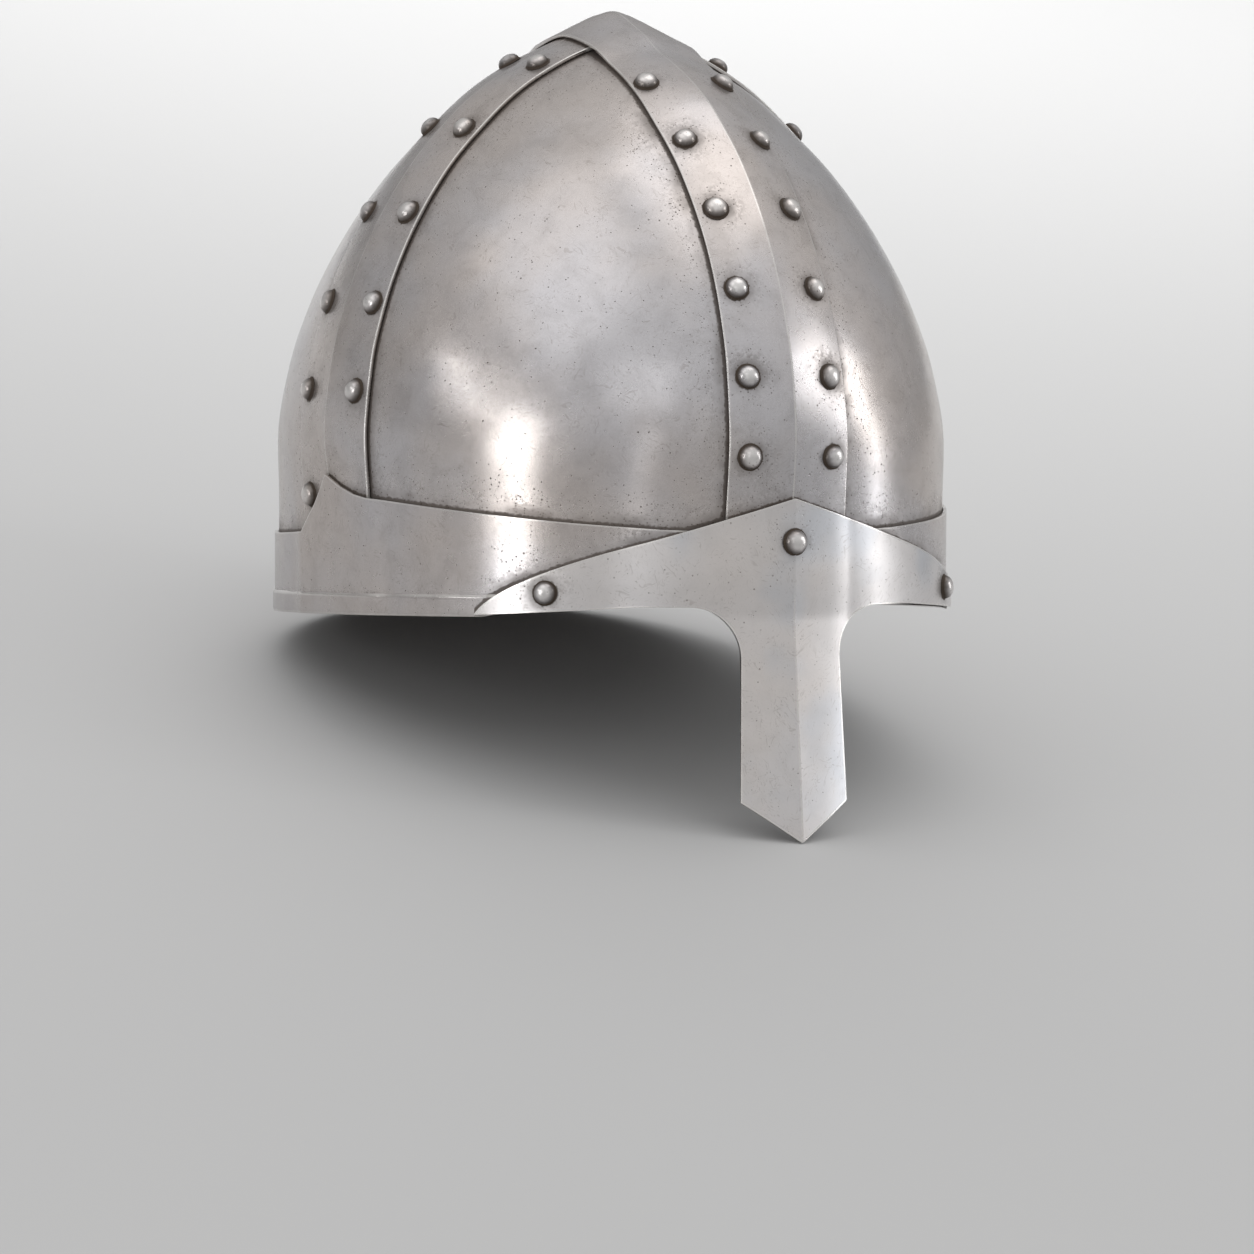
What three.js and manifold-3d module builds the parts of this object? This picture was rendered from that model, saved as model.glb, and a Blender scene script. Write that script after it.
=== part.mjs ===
// A steel nasal helmet of the banded kind: four skull plates riveted under a ridged band that
// runs from brow to back, two ridged side bands, a brow band and a brow shield with a nose guard.
// The helmet lies as it rests by itself: on the tip of the nose guard and the back of the rim.

import * as THREE from 'three';
import { mergeVertices } from 'three/addons/utils/BufferGeometryUtils.js';
import Module from 'manifold-3d';

const wasm = await Module();
wasm.setup();

// Driving dimensions in millimetres. The helmet is laid out upright, with its rim at z = 0,
// its front towards -Y and its tip above the origin, and is tilted to rest at the end.
const HALF_WIDTH = 95;
const HALF_LENGTH = 108.3;
const PLATE = 1.5;
const BAND = 1.2;
const BROW = 1;
const NASAL = 1.3;
const GAP = 0.3;

// The skull's outer face: how wide it is at each height, as a share of its width at the rim.
const SKULL_PROFILE = [
  { height: 0, share: 0.985 },
  { height: 33, share: 1.004 },
  { height: 53, share: 1.018 },
  { height: 73, share: 0.9955 },
  { height: 93, share: 0.94 },
  { height: 112, share: 0.854 },
  { height: 132, share: 0.722 },
  { height: 147, share: 0.579 },
  { height: 157, share: 0.46 },
  { height: 166, share: 0.31 },
  { height: 171, share: 0.203 },
  { height: 181.2, share: 0 },
];
const TIP_ROUNDING = 0.035;

// The skull's plan is a superellipse: squarish at the rim, keeled under the bands higher up.
const PLAN_POWER_AT_RIM = 2.45;
const PLAN_POWER_ABOVE = 1.73;
const PLAN_POWER_HEIGHT = 147;

const SEAM = 3;
const PLATE_LIFT = 1;
const PLATE_TOP = 175.5;
const PLATE_COLUMNS = 7;
const CROWN = 178;
const TIP = 179.4;

// The bands' ridges die away near the tip, and under the brow band everywhere but at the front.
const FORE_RIDGE = 2.3;
const SIDE_RIDGE = 1.6;
const RIDGE_FADE_FROM = 150;
const RIDGE_FADE_RUN = 18;
const RIDGE_RISE_FROM = 30;
const RIDGE_RISE_RUN = 20;
const BAND_BOTTOM = 8;
const STEP_MARGIN = 1.5;
const STEP_RUN = 7;
const CROWN_LAP_MARGIN = 3.5;
const CROWN_LAP_RUN = 9;
const SIDE_CENTRE = -1.7;
const SIDE_END = 9;

const BAND_WIDTHS = [
  { height: 0, fore: 20.5, side: 21 },
  { height: 60, fore: 20, side: 20.5 },
  { height: 110, fore: 18.3, side: 17.5 },
  { height: 150, fore: 17.6, side: 15 },
  { height: 180, fore: 16.5, side: 14 },
];
const SECTION_HEIGHTS = [30, 53, 70, 86, 101, 115, 128, 140, 151, 161, 168, 172.5, PLATE_TOP];
const BAND_STOPS = [-1, -0.6, -0.25, 0, 0.25, 0.6, 1];

// The brow band's top edge, by the angle round the helmet from its front.
const BROW_TOP = [
  { angle: 0, height: 24.5 },
  { angle: 21, height: 26 },
  { angle: 35, height: 27.8 },
  { angle: 48, height: 29.8 },
  { angle: 64, height: 32.2 },
  { angle: 76.2, height: 33.7 },
  { angle: 80, height: 34.7 },
  { angle: 84.5, height: 37 },
  { angle: 89, height: 40.4 },
  { angle: 95, height: 31 },
  { angle: 101.5, height: 22.3 },
  { angle: 117, height: 21 },
  { angle: 180, height: 20.5 },
];
const BROW_ANGLES = [
  0, 5.7, 11.8, 15.5, 22, 28, 34, 39, 44.5, 50, 52, 58, 64, 72, 76.2, 80, 84.5, 89, 95, 101.8, 106,
  113, 119, 125, 131, 136, 141, 146, 151, 157, 164.3, 168.1, 175.5,
];

// The rim sinks towards the back, by so much for each millimetre past a place near the brow.
const RIM_DROP = 0.025;
const RIM_DROP_FROM = -75;
const HEM_HEIGHT = 5.5;
const HEM_STEP = 0.7;
const HEM_PROUD = 0.6;
const HEM_FROM = 50;
const HEM_FULL_FROM = 52;

// The brow shield and nose guard, seen from the front.
const SHIELD_PEAK = 35.3;
const SHIELD_SHOULDER = new THREE.Vector2(44, 22);
const SHIELD_BEND = new THREE.Vector2(78, 12.5);
const SHIELD_END = new THREE.Vector2(82, 0.6);
const WING_SAG = new THREE.Vector2(66, 1.7);
const EYE_ARCH = new THREE.Vector2(46, 3);
const EYE_ARCH_ANGLE = 25;
const GUARD_HALF_WIDTH = 16.6;
const GUARD_FOOT_HALF_WIDTH = 17.9;
const GUARD_FOOT = -55;
const GUARD_TIP = -67;
const GUARD_FILLET = 15;
const GUARD_LEAN = 0.07;
const GUARD_RIDGE = 4;
const GUARD_RIDGE_FROM = 20;
const GUARD_RIDGE_RUN = 80;
const SHIELD_LAP_FROM = 25;
const SHIELD_LAP_RUN = 3;
const OUTLINE_STEPS = 4;
const SHIELD_ANGLES = [0, 2.7, 5.8, 9.2, 11.8, 15.5, 21, 27, 33, 39, 44.5, 50, 54];
const SHIELD_HEIGHTS = [-70, 0, 25, 28, 38];

const RIVET_HEAD = 3.5;
const RIVET_DOME = 2.6;
const RIVET_SHOULDER = 2.6;
const RIVET_SHOULDER_RISE = 1.8;
const RIVET_SHANK = 1.5;
const RIVET_TAIL = 2.3;
const RIVET_TAIL_DEPTH = 0.9;
const RIVET_SEAT = 0.25;
const RIVET_INNER_GAP = 1.3;
const RIVET_HOLE = 2.6;
const RIVET_SIDES = 7;
const HOLE_SIDES = 4;
const HOLE_ALLOWANCE = 3;

const FORE_RIVETS = [
  { height: 47.6, across: 14 },
  { height: 71.1, across: 13.7 },
  { height: 97, across: 13 },
  { height: 120.7, across: 12.4 },
  { height: 141.6, across: 12.5 },
  { height: 159.5, across: 12.8 },
];
const SIDE_RIVETS = [
  { height: 33.9, across: 14.2 },
  { height: 65.6, across: 14.4 },
  { height: 92, across: 13.8 },
  { height: 119.2, across: 12 },
  { height: 144.7, across: 10 },
  { height: 164.8, across: 8.5 },
];
const CENTRE_RIVET_HEIGHT = 22.3;
const WING_RIVET = { angle: 40.3, height: 7 };

const steel = (color, roughness) => new THREE.MeshStandardMaterial({ color, roughness, metalness: 1 });
const plateSteel = steel(0xb4b2b0, 0.36);
const bandSteel = steel(0xa8a4a0, 0.4);
const rivetSteel = steel(0xbab6b2, 0.3);

// Value of a column of a table at a place between its rows, in straight lines.
function between(rows, key, column, place) {
  const last = rows.length - 1;
  if (place <= rows[0][key]) return rows[0][column];
  if (place >= rows[last][key]) return rows[last][column];
  const next = rows.findIndex((row) => row[key] > place);
  const low = rows[next - 1];
  const high = rows[next];
  const part = (place - low[key]) / (high[key] - low[key]);
  return low[column] + part * (high[column] - low[column]);
}

// Smooth curve through a table's rows that never overshoots them.
function smoothCurve(rows, key, column) {
  const pitch = rows.slice(1).map((row, i) => {
    const before = rows[i];
    return (row[column] - before[column]) / (row[key] - before[key]);
  });
  const slopes = rows.map((row, i) => {
    if (i === 0) return pitch[0];
    if (i === rows.length - 1) return pitch[i - 1];
    const before = pitch[i - 1];
    const after = pitch[i];
    return before * after <= 0 ? 0 : (2 * before * after) / (before + after);
  });
  return (place) => {
    const inside = THREE.MathUtils.clamp(place, rows[0][key], rows[rows.length - 1][key]);
    let i = rows.findIndex((row) => row[key] >= inside) - 1;
    i = Math.max(i, 0);
    const run = rows[i + 1][key] - rows[i][key];
    const t = (inside - rows[i][key]) / run;
    const rise = 3 * t * t - 2 * t * t * t;
    return (1 - rise) * rows[i][column] + rise * rows[i + 1][column]
      + run * (t * (1 - t) * (1 - t) * slopes[i] - t * t * (1 - t) * slopes[i + 1]);
  };
}

const skullShare = smoothCurve(SKULL_PROFILE, 'height', 'share');

function shareAt(height) {
  const sharp = skullShare(height);
  return Math.sqrt(Math.max(sharp * sharp - TIP_ROUNDING * TIP_ROUNDING, 0));
}

function planPower(height) {
  const part = THREE.MathUtils.clamp(height / PLAN_POWER_HEIGHT, 0, 1);
  return THREE.MathUtils.lerp(PLAN_POWER_AT_RIM, PLAN_POWER_ABOVE, part);
}

// Above zero outside the skull's outer face, below zero inside it.
function outside(point) {
  const power = planPower(point.z);
  const reach = Math.abs(point.x / HALF_WIDTH) ** power + Math.abs(point.y / HALF_LENGTH) ** power;
  return reach ** (1 / power) - shareAt(point.z);
}

function normalAt(point) {
  const step = 0.02;
  const slope = ['x', 'y', 'z'].map((axis) => {
    const ahead = point.clone();
    const behind = point.clone();
    ahead[axis] += step;
    behind[axis] -= step;
    return outside(ahead) - outside(behind);
  });
  return new THREE.Vector3(...slope).normalize();
}

// Point of the skull's outer face at an angle from the front, counted towards +X, and a height.
function skullPoint(angle, height) {
  const power = planPower(height);
  const reach = Math.abs(Math.sin(angle) / HALF_WIDTH) ** power
    + Math.abs(Math.cos(angle) / HALF_LENGTH) ** power;
  const radius = shareAt(height) * reach ** (-1 / power);
  return new THREE.Vector3(radius * Math.sin(angle), -radius * Math.cos(angle), height);
}

function lifted(point, rise) {
  return point.clone().addScaledVector(normalAt(point), rise);
}

// A run from 1 near zero down to 0, past a margin.
function stepDown(distance, margin, run) {
  return 1 - THREE.MathUtils.clamp((Math.abs(distance) - margin) / run, 0, 1);
}

// The bands. Each lies across its own centre line: the fore-and-aft band along x = 0 and the
// side bands along y = SIDE_CENTRE.
const foreAft = {
  centre: new THREE.Vector3(0, 0, 0),
  across: new THREE.Vector3(1, 0, 0),
  along: new THREE.Vector3(0, 1, 0),
  width: 'fore',
  ridge: FORE_RIDGE,
};
const sideways = {
  centre: new THREE.Vector3(0, SIDE_CENTRE, 0),
  across: new THREE.Vector3(0, 1, 0),
  along: new THREE.Vector3(1, 0, 0),
  width: 'side',
  ridge: SIDE_RIDGE,
};

function halfWidthAt(band, height) {
  return between(BAND_WIDTHS, 'height', band.width, height);
}

// A band's ridge over its own sheet, on one side of the helmet (-1 or 1).
function ridgeAt(band, side, distance, height) {
  const fade = stepDown(Math.max(height, 0), RIDGE_FADE_FROM, RIDGE_FADE_RUN);
  const risen = THREE.MathUtils.clamp((height - RIDGE_RISE_FROM) / RIDGE_RISE_RUN, 0, 1);
  const atFront = band === foreAft && side < 0;
  const peak = band.ridge * fade * (atFront ? 1 : risen);
  return peak * Math.max(1 - Math.abs(distance) / halfWidthAt(band, height), 0);
}

// Where a line meets the skull's outer face, by halving between a place outside and one inside.
function slideToSkull(start, direction, near, far) {
  const halvings = 40;
  const at = (distance) => start.clone().addScaledVector(direction, distance);
  let out = near;
  let inn = far;
  for (let i = 0; i < halvings; i += 1) {
    const middle = (out + inn) / 2;
    if (outside(at(middle)) > 0) out = middle;
    else inn = middle;
  }
  return at((out + inn) / 2);
}

// Point of the skull under a band: at a height on its centre line on one side (-1 or 1), and a
// distance across it, squarely to that line.
function underBand(band, side, height, distance) {
  const axis = band.centre.clone().setZ(height);
  const beyond = side * 2 * HALF_LENGTH;
  const middle = slideToSkull(axis, band.along, beyond, 0);
  const normal = normalAt(middle);
  normal.addScaledVector(band.across, -normal.dot(band.across)).normalize();
  middle.addScaledVector(band.across, distance);
  return slideToSkull(middle, normal, PLATE, -HALF_WIDTH / 2);
}

// How far the underside of the fore-and-aft band is lifted over the side bands' tucked ends.
function crownLap(point) {
  const margin = halfWidthAt(sideways, point.z) + CROWN_LAP_MARGIN;
  return (BAND + GAP) * stepDown(point.y - SIDE_CENTRE, margin, CROWN_LAP_RUN);
}

function bandPoint(band, side, height, distance, through) {
  const base = underBand(band, side, height, distance);
  const lap = band === foreAft ? crownLap(base) : 0;
  return lifted(base, GAP + lap + ridgeAt(band, side, distance, height) + BAND * through);
}

// How far the brow band and shield stand off a point of the skull to clear the bands there.
function reliefUnderBrow(point) {
  const past = point.y - SIDE_CENTRE;
  const foreReach = halfWidthAt(foreAft, point.z) + STEP_MARGIN;
  const sideReach = halfWidthAt(sideways, point.z) + STEP_MARGIN;
  const overFore = (BAND + GAP) * stepDown(point.x, foreReach, STEP_RUN);
  const overSide = (BAND + GAP) * stepDown(past, sideReach, STEP_RUN);
  const foreRidge = ridgeAt(foreAft, Math.sign(point.y), point.x, point.z);
  const sideRidge = ridgeAt(sideways, Math.sign(point.x), past, point.z);
  return Math.max(overFore, overSide) + foreRidge + sideRidge;
}

function browPoint(angle, height, through, hem) {
  const base = skullPoint(angle, height);
  return lifted(base, GAP + reliefUnderBrow(base) + BROW * through + hem).setZ(height);
}

function shieldPoint(angle, height, through) {
  const base = skullPoint(angle, Math.max(height, 0));
  const overBrow = (BROW + GAP) * stepDown(Math.max(height - SHIELD_LAP_FROM, 0), 0, SHIELD_LAP_RUN);
  const down = THREE.MathUtils.clamp((GUARD_RIDGE_FROM - height) / GUARD_RIDGE_RUN, 0, 1);
  const nearCentre = Math.max(1 - Math.abs(base.x) / halfWidthAt(foreAft, 0), 0);
  const extraRidge = (GUARD_RIDGE - FORE_RIDGE) * down * nearCentre;
  const rise = GAP + reliefUnderBrow(base) + overBrow + extraRidge + NASAL * through;
  const point = lifted(base, rise);
  const lean = GUARD_LEAN * Math.max(-height, 0);
  return point.set(point.x, point.y - lean, height);
}

// A geometry as one closed body: shared corners merged, slivers dropped, faces outwards.
function closed(geometry) {
  geometry.deleteAttribute('normal');
  geometry.deleteAttribute('uv');
  const merged = mergeVertices(geometry, 1e-3);
  const index = merged.index.array;
  const position = merged.attributes.position;
  const corners = [0, 1, 2].map(() => new THREE.Vector3());
  const faces = [];
  let volume = 0;
  for (let i = 0; i < index.length; i += 3) {
    const face = [index[i], index[i + 1], index[i + 2]];
    if (new Set(face).size === 3) {
      face.forEach((vertex, j) => corners[j].fromBufferAttribute(position, vertex));
      volume += corners[0].dot(corners[1].clone().cross(corners[2]));
      faces.push(face);
    }
  }
  const turned = volume < 0 ? faces.map(([a, b, c]) => [a, c, b]) : faces;
  merged.setIndex(turned.flat());
  return merged;
}

// A sheet of metal: a box whose two long ways run over the sheet and whose third runs through it.
// place(i, j, through) gives the point at stop i, stop j and 0 inside or 1 outside. A ring's two
// ends meet, so their faces are left out.
function sheet(columns, rows, place, ring = false) {
  const box = new THREE.BoxGeometry(columns, rows, 1, columns, rows, 1);
  const position = box.attributes.position;
  if (ring) {
    const isEnd = (vertex) => Math.abs(position.getX(vertex)) === columns / 2;
    const open = [];
    for (let i = 0; i < box.index.count; i += 3) {
      const face = [box.index.getX(i), box.index.getX(i + 1), box.index.getX(i + 2)];
      const side = position.getX(face[0]);
      const flat = face.every((vertex) => isEnd(vertex) && position.getX(vertex) === side);
      if (!flat) open.push(...face);
    }
    box.setIndex(open);
  }
  for (let i = 0; i < position.count; i += 1) {
    const column = Math.round(position.getX(i) + columns / 2);
    const row = Math.round(position.getY(i) + rows / 2);
    const point = place(column, row, position.getZ(i) + 0.5);
    position.setXYZ(i, point.x, point.y, point.z);
  }
  return closed(box);
}

function toManifold(geometry) {
  const vertProperties = Float32Array.from(geometry.attributes.position.array);
  const triVerts = Uint32Array.from(geometry.index.array);
  return new wasm.Manifold(new wasm.Mesh({ numProp: 3, vertProperties, triVerts }));
}

function toGeometry(manifold) {
  const mesh = manifold.getMesh();
  const geometry = new THREE.BufferGeometry();
  geometry.setAttribute('position', new THREE.BufferAttribute(mesh.vertProperties, 3));
  geometry.setIndex(new THREE.BufferAttribute(mesh.triVerts, 1));
  return geometry;
}

// An angle round the helmet in degrees, folded to between 0 at the front and 180 at the back.
function fromFront(degrees) {
  return 180 - Math.abs(180 - THREE.MathUtils.euclideanModulo(degrees, 360));
}

// The rim's height, which rises over the eyes and sinks towards the back.
function rimAt(degrees) {
  const past = Math.max(fromFront(degrees) - EYE_ARCH_ANGLE, 0);
  const lift = EYE_ARCH.y * stepDown(past, 0, HEM_FROM - EYE_ARCH_ANGLE);
  const { y } = skullPoint(THREE.MathUtils.degToRad(degrees), 0);
  return lift - RIM_DROP * Math.max(y - RIM_DROP_FROM, 0);
}

// One skull plate, between the seam at the side and the seam at the front or back.
function skullPlate(left, front) {
  const heights = [0, ...SECTION_HEIGHTS];
  const place = (column, row, through) => {
    const height = heights[row];
    const edge = shareAt(height);
    const power = planPower(height);
    const half = SEAM / 2;
    const ending = (mine, other) => {
      const rest = edge ** power - (half / mine) ** power;
      return other * rest ** (1 / power);
    };
    const atFront = Math.atan2(half, ending(HALF_WIDTH, HALF_LENGTH));
    const atSide = Math.atan2(ending(HALF_LENGTH, HALF_WIDTH), half);
    const turn = THREE.MathUtils.lerp(atFront, atSide, column / PLATE_COLUMNS);
    const angle = (front ? turn : Math.PI - turn) * left;
    const bottom = rimAt(THREE.MathUtils.radToDeg(angle)) + PLATE_LIFT;
    const base = skullPoint(angle, row === 0 ? bottom : height);
    return lifted(base, PLATE * (through - 1));
  };
  return sheet(PLATE_COLUMNS, heights.length - 1, place);
}

function foreAftBand() {
  const heights = [BAND_BOTTOM, ...SECTION_HEIGHTS, CROWN];
  const stations = [
    ...heights.map((height) => ({ side: -1, height })),
    { side: 1, height: TIP },
    ...heights.toReversed().map((height) => ({ side: 1, height })),
  ];
  const place = (column, row, through) => {
    const { side, height } = stations[row];
    const distance = BAND_STOPS[column] * halfWidthAt(foreAft, height);
    return bandPoint(foreAft, side, height, distance, through);
  };
  return sheet(BAND_STOPS.length - 1, stations.length - 1, place);
}

function sideBand(left) {
  const step = 0.1;
  let end = PLATE_TOP;
  while (shareAt(end) * HALF_WIDTH > SIDE_END) end += step;
  const heights = [BAND_BOTTOM, ...SECTION_HEIGHTS, end];
  const place = (column, row, through) => {
    const distance = BAND_STOPS[column] * halfWidthAt(sideways, heights[row]);
    return bandPoint(sideways, left, heights[row], distance, through);
  };
  return sheet(BAND_STOPS.length - 1, heights.length - 1, place);
}

function browBand() {
  const mirrored = BROW_ANGLES.slice(1).toReversed().map((angle) => -angle);
  const turns = [...mirrored, ...BROW_ANGLES, mirrored[0] + 360];
  const rows = 3;
  const place = (column, row, through) => {
    const degrees = turns[column];
    const angle = THREE.MathUtils.degToRad(degrees);
    const top = between(BROW_TOP, 'angle', 'height', fromFront(degrees));
    const hem = 1 - stepDown(fromFront(degrees), HEM_FROM, HEM_FULL_FROM - HEM_FROM);
    const bottom = rimAt(degrees) + PLATE_LIFT * (1 - hem);
    const fold = Math.min(rimAt(degrees), 0) + HEM_HEIGHT;
    const heights = [bottom, fold, fold + HEM_STEP, top];
    const folded = row < 2 ? HEM_PROUD * hem * through : 0;
    return browPoint(angle, heights[row], through, folded);
  };
  return sheet(turns.length - 1, rows, place, true);
}

// Outline of the brow shield and nose guard in x and z, given a wall's thickness towards -Y.
function shieldBlank() {
  const half = new THREE.Shape();
  half.moveTo(0, GUARD_TIP);
  half.lineTo(GUARD_FOOT_HALF_WIDTH, GUARD_FOOT);
  const fillet = new THREE.Vector2(GUARD_HALF_WIDTH + GUARD_FILLET, EYE_ARCH.y - GUARD_FILLET);
  half.lineTo(GUARD_HALF_WIDTH, fillet.y);
  half.absarc(fillet.x, fillet.y, GUARD_FILLET, Math.PI, Math.PI / 2, true);
  half.lineTo(EYE_ARCH.x, EYE_ARCH.y);
  half.quadraticCurveTo(WING_SAG.x, WING_SAG.y, SHIELD_END.x, SHIELD_END.y);
  half.quadraticCurveTo(SHIELD_BEND.x, SHIELD_BEND.y, SHIELD_SHOULDER.x, SHIELD_SHOULDER.y);
  half.lineTo(0, SHIELD_PEAK);
  const points = half.getPoints(OUTLINE_STEPS);
  const turned = points.slice(1, -1).toReversed();
  const mirrored = turned.map((point) => new THREE.Vector2(-point.x, point.y));
  const outline = new THREE.Shape([...points, ...mirrored]);
  const blank = new THREE.ExtrudeGeometry(outline, { depth: HALF_LENGTH, bevelEnabled: false });
  blank.rotateX(Math.PI / 2);
  blank.translate(0, -HALF_LENGTH / 3, 0);
  return closed(blank);
}

function nasalPlate() {
  const turns = [...SHIELD_ANGLES.slice(1).toReversed().map((angle) => -angle), ...SHIELD_ANGLES];
  const place = (column, row, through) => {
    const angle = THREE.MathUtils.degToRad(turns[column]);
    return shieldPoint(angle, SHIELD_HEIGHTS[row], through);
  };
  const curved = sheet(turns.length - 1, SHIELD_HEIGHTS.length - 1, place);
  return toGeometry(toManifold(curved).intersect(toManifold(shieldBlank())));
}

// A rivet: seat is the point of the outer face under its head, axis points outwards, grip is
// the depth of metal it holds, and through names the pieces that it passes.
function rivetOn(name, surface, grip, through) {
  const step = 0.5;
  const seat = surface(0, 0);
  const one = surface(step, 0).sub(surface(-step, 0));
  const two = surface(0, step).sub(surface(0, -step));
  const axis = one.cross(two).normalize();
  if (axis.dot(normalAt(seat)) < 0) axis.negate();
  return { name, seat, axis, grip, through };
}

// The two rivet columns of a band on one side. The brow band covers the place of the lowest
// rivet in each side band's front column, which therefore has none there.
function bandRivets(band, side, rows, prefix, bandName) {
  const rivets = [];
  [-1, 1].forEach((hand) => {
    const left = band === foreAft ? hand : side;
    const front = (band === foreAft ? side : hand) < 0;
    const namedFor = band === foreAft ? ['right', 'left'] : ['front', 'rear'];
    const column = namedFor[hand < 0 ? 0 : 1];
    const plate = plateName(left, front);
    rows.forEach(({ height, across }, index) => {
      const covered = band === sideways && front && index === 0;
      if (covered) return;
      const surface = (up, out) => bandPoint(band, side, height + up, hand * across + out, 1);
      const grip = BAND + GAP + ridgeAt(band, side, across, height) + PLATE + RIVET_INNER_GAP;
      rivets.push(rivetOn(`${prefix}_${column}_${index + 1}`, surface, grip, [bandName, plate]));
    });
  });
  return rivets;
}

function shieldRivets() {
  const grip = NASAL + BROW + PLATE + 2 * GAP + RIVET_INNER_GAP;
  const centreGrip = grip + BAND + GAP + FORE_RIDGE;
  const seatAt = (angle, height) => (up, out) => {
    const turn = angle + out / HALF_LENGTH;
    return shieldPoint(turn, height + up, 1);
  };
  const wing = THREE.MathUtils.degToRad(WING_RIVET.angle);
  const layers = ['nasal_plate', 'brow_band'];
  const centreLayers = [...layers, 'band_fore_aft', plateName(-1, true), plateName(1, true)];
  const wings = [-1, 1].map((hand) => {
    const name = `rivet_nasal_${hand < 0 ? 'right' : 'left'}`;
    const through = [...layers, plateName(hand, true)];
    return rivetOn(name, seatAt(hand * wing, WING_RIVET.height), grip, through);
  });
  const centreSeat = seatAt(0, CENTRE_RIVET_HEIGHT);
  return [rivetOn('rivet_nasal_centre', centreSeat, centreGrip, centreLayers), ...wings];
}

function rivetGeometry(grip) {
  const profile = [
    new THREE.Vector2(0, -grip - RIVET_TAIL_DEPTH),
    new THREE.Vector2(RIVET_TAIL, -grip),
    new THREE.Vector2(RIVET_SHANK, -grip),
    new THREE.Vector2(RIVET_SHANK, RIVET_SEAT),
    new THREE.Vector2(RIVET_HEAD, RIVET_SEAT),
    new THREE.Vector2(RIVET_SHOULDER, RIVET_SEAT + RIVET_SHOULDER_RISE),
    new THREE.Vector2(0, RIVET_SEAT + RIVET_DOME),
  ];
  return closed(new THREE.LatheGeometry(profile, RIVET_SIDES));
}

function rivetHole(rivet) {
  const length = rivet.grip + 2 * HOLE_ALLOWANCE;
  const hole = new THREE.CylinderGeometry(RIVET_HOLE, RIVET_HOLE, length, HOLE_SIDES);
  hole.translate(0, HOLE_ALLOWANCE - length / 2, 0);
  hole.applyQuaternion(uprightTo(rivet.axis));
  hole.translate(rivet.seat.x, rivet.seat.y, rivet.seat.z);
  return toManifold(closed(hole));
}

function uprightTo(axis) {
  return new THREE.Quaternion().setFromUnitVectors(new THREE.Vector3(0, 1, 0), axis);
}

function plateName(left, front) {
  return `plate_${front ? 'front' : 'rear'}_${left < 0 ? 'right' : 'left'}`;
}

function drilled(name, geometry, rivets) {
  const holes = rivets.filter((rivet) => rivet.through.includes(name)).map(rivetHole);
  const cut = holes.reduce((solid, hole) => solid.subtract(hole), toManifold(geometry));
  return toGeometry(cut);
}

const rivets = [
  ...bandRivets(foreAft, -1, FORE_RIVETS, 'rivet_front', 'band_fore_aft'),
  ...bandRivets(foreAft, 1, FORE_RIVETS, 'rivet_back', 'band_fore_aft'),
  ...bandRivets(sideways, -1, SIDE_RIVETS, 'rivet_side_right', 'band_side_right'),
  ...bandRivets(sideways, 1, SIDE_RIVETS, 'rivet_side_left', 'band_side_left'),
  ...shieldRivets(),
];

const helmet = new THREE.Group();

function addPiece(name, geometry, material) {
  const mesh = new THREE.Mesh(drilled(name, geometry, rivets), material);
  mesh.name = name;
  helmet.add(mesh);
}

[-1, 1].forEach((left) => {
  [true, false].forEach((front) => {
    addPiece(plateName(left, front), skullPlate(left, front), plateSteel);
  });
});
addPiece('band_fore_aft', foreAftBand(), bandSteel);
addPiece('band_side_right', sideBand(-1), bandSteel);
addPiece('band_side_left', sideBand(1), bandSteel);
addPiece('brow_band', browBand(), bandSteel);
addPiece('nasal_plate', nasalPlate(), bandSteel);

rivets.forEach((rivet) => {
  const mesh = new THREE.Mesh(rivetGeometry(rivet.grip), rivetSteel);
  mesh.name = rivet.name;
  mesh.position.copy(rivet.seat);
  mesh.quaternion.copy(uprightTo(rivet.axis));
  helmet.add(mesh);
});

// Lay the helmet down on the tip of its nose guard and the back of its rim.
const guardTip = shieldPoint(0, GUARD_TIP, 0);
const rimBack = browPoint(Math.PI, rimAt(180), 1, HEM_PROUD);
helmet.rotation.x = -Math.atan2(rimBack.z - guardTip.z, rimBack.y - guardTip.y);

const part = new THREE.Group();
part.add(helmet);
const reach = new THREE.Box3().setFromObject(part, true);
const middle = reach.getCenter(new THREE.Vector3());
helmet.position.set(-middle.x, -middle.y, -reach.min.z);

export default part;
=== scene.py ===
"""Looks of a steel nasal helmet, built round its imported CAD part.

The four skull plates, the ridged bands, the brow band with its folded hem, the nose shield and
the rivets are made again as finely curved sheets of worn satin steel, each in its node's place.
"""

import math

import bpy
import numpy as np
from bpy.props import FloatProperty, FloatVectorProperty, PointerProperty
from mathutils import Matrix, Vector


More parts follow.
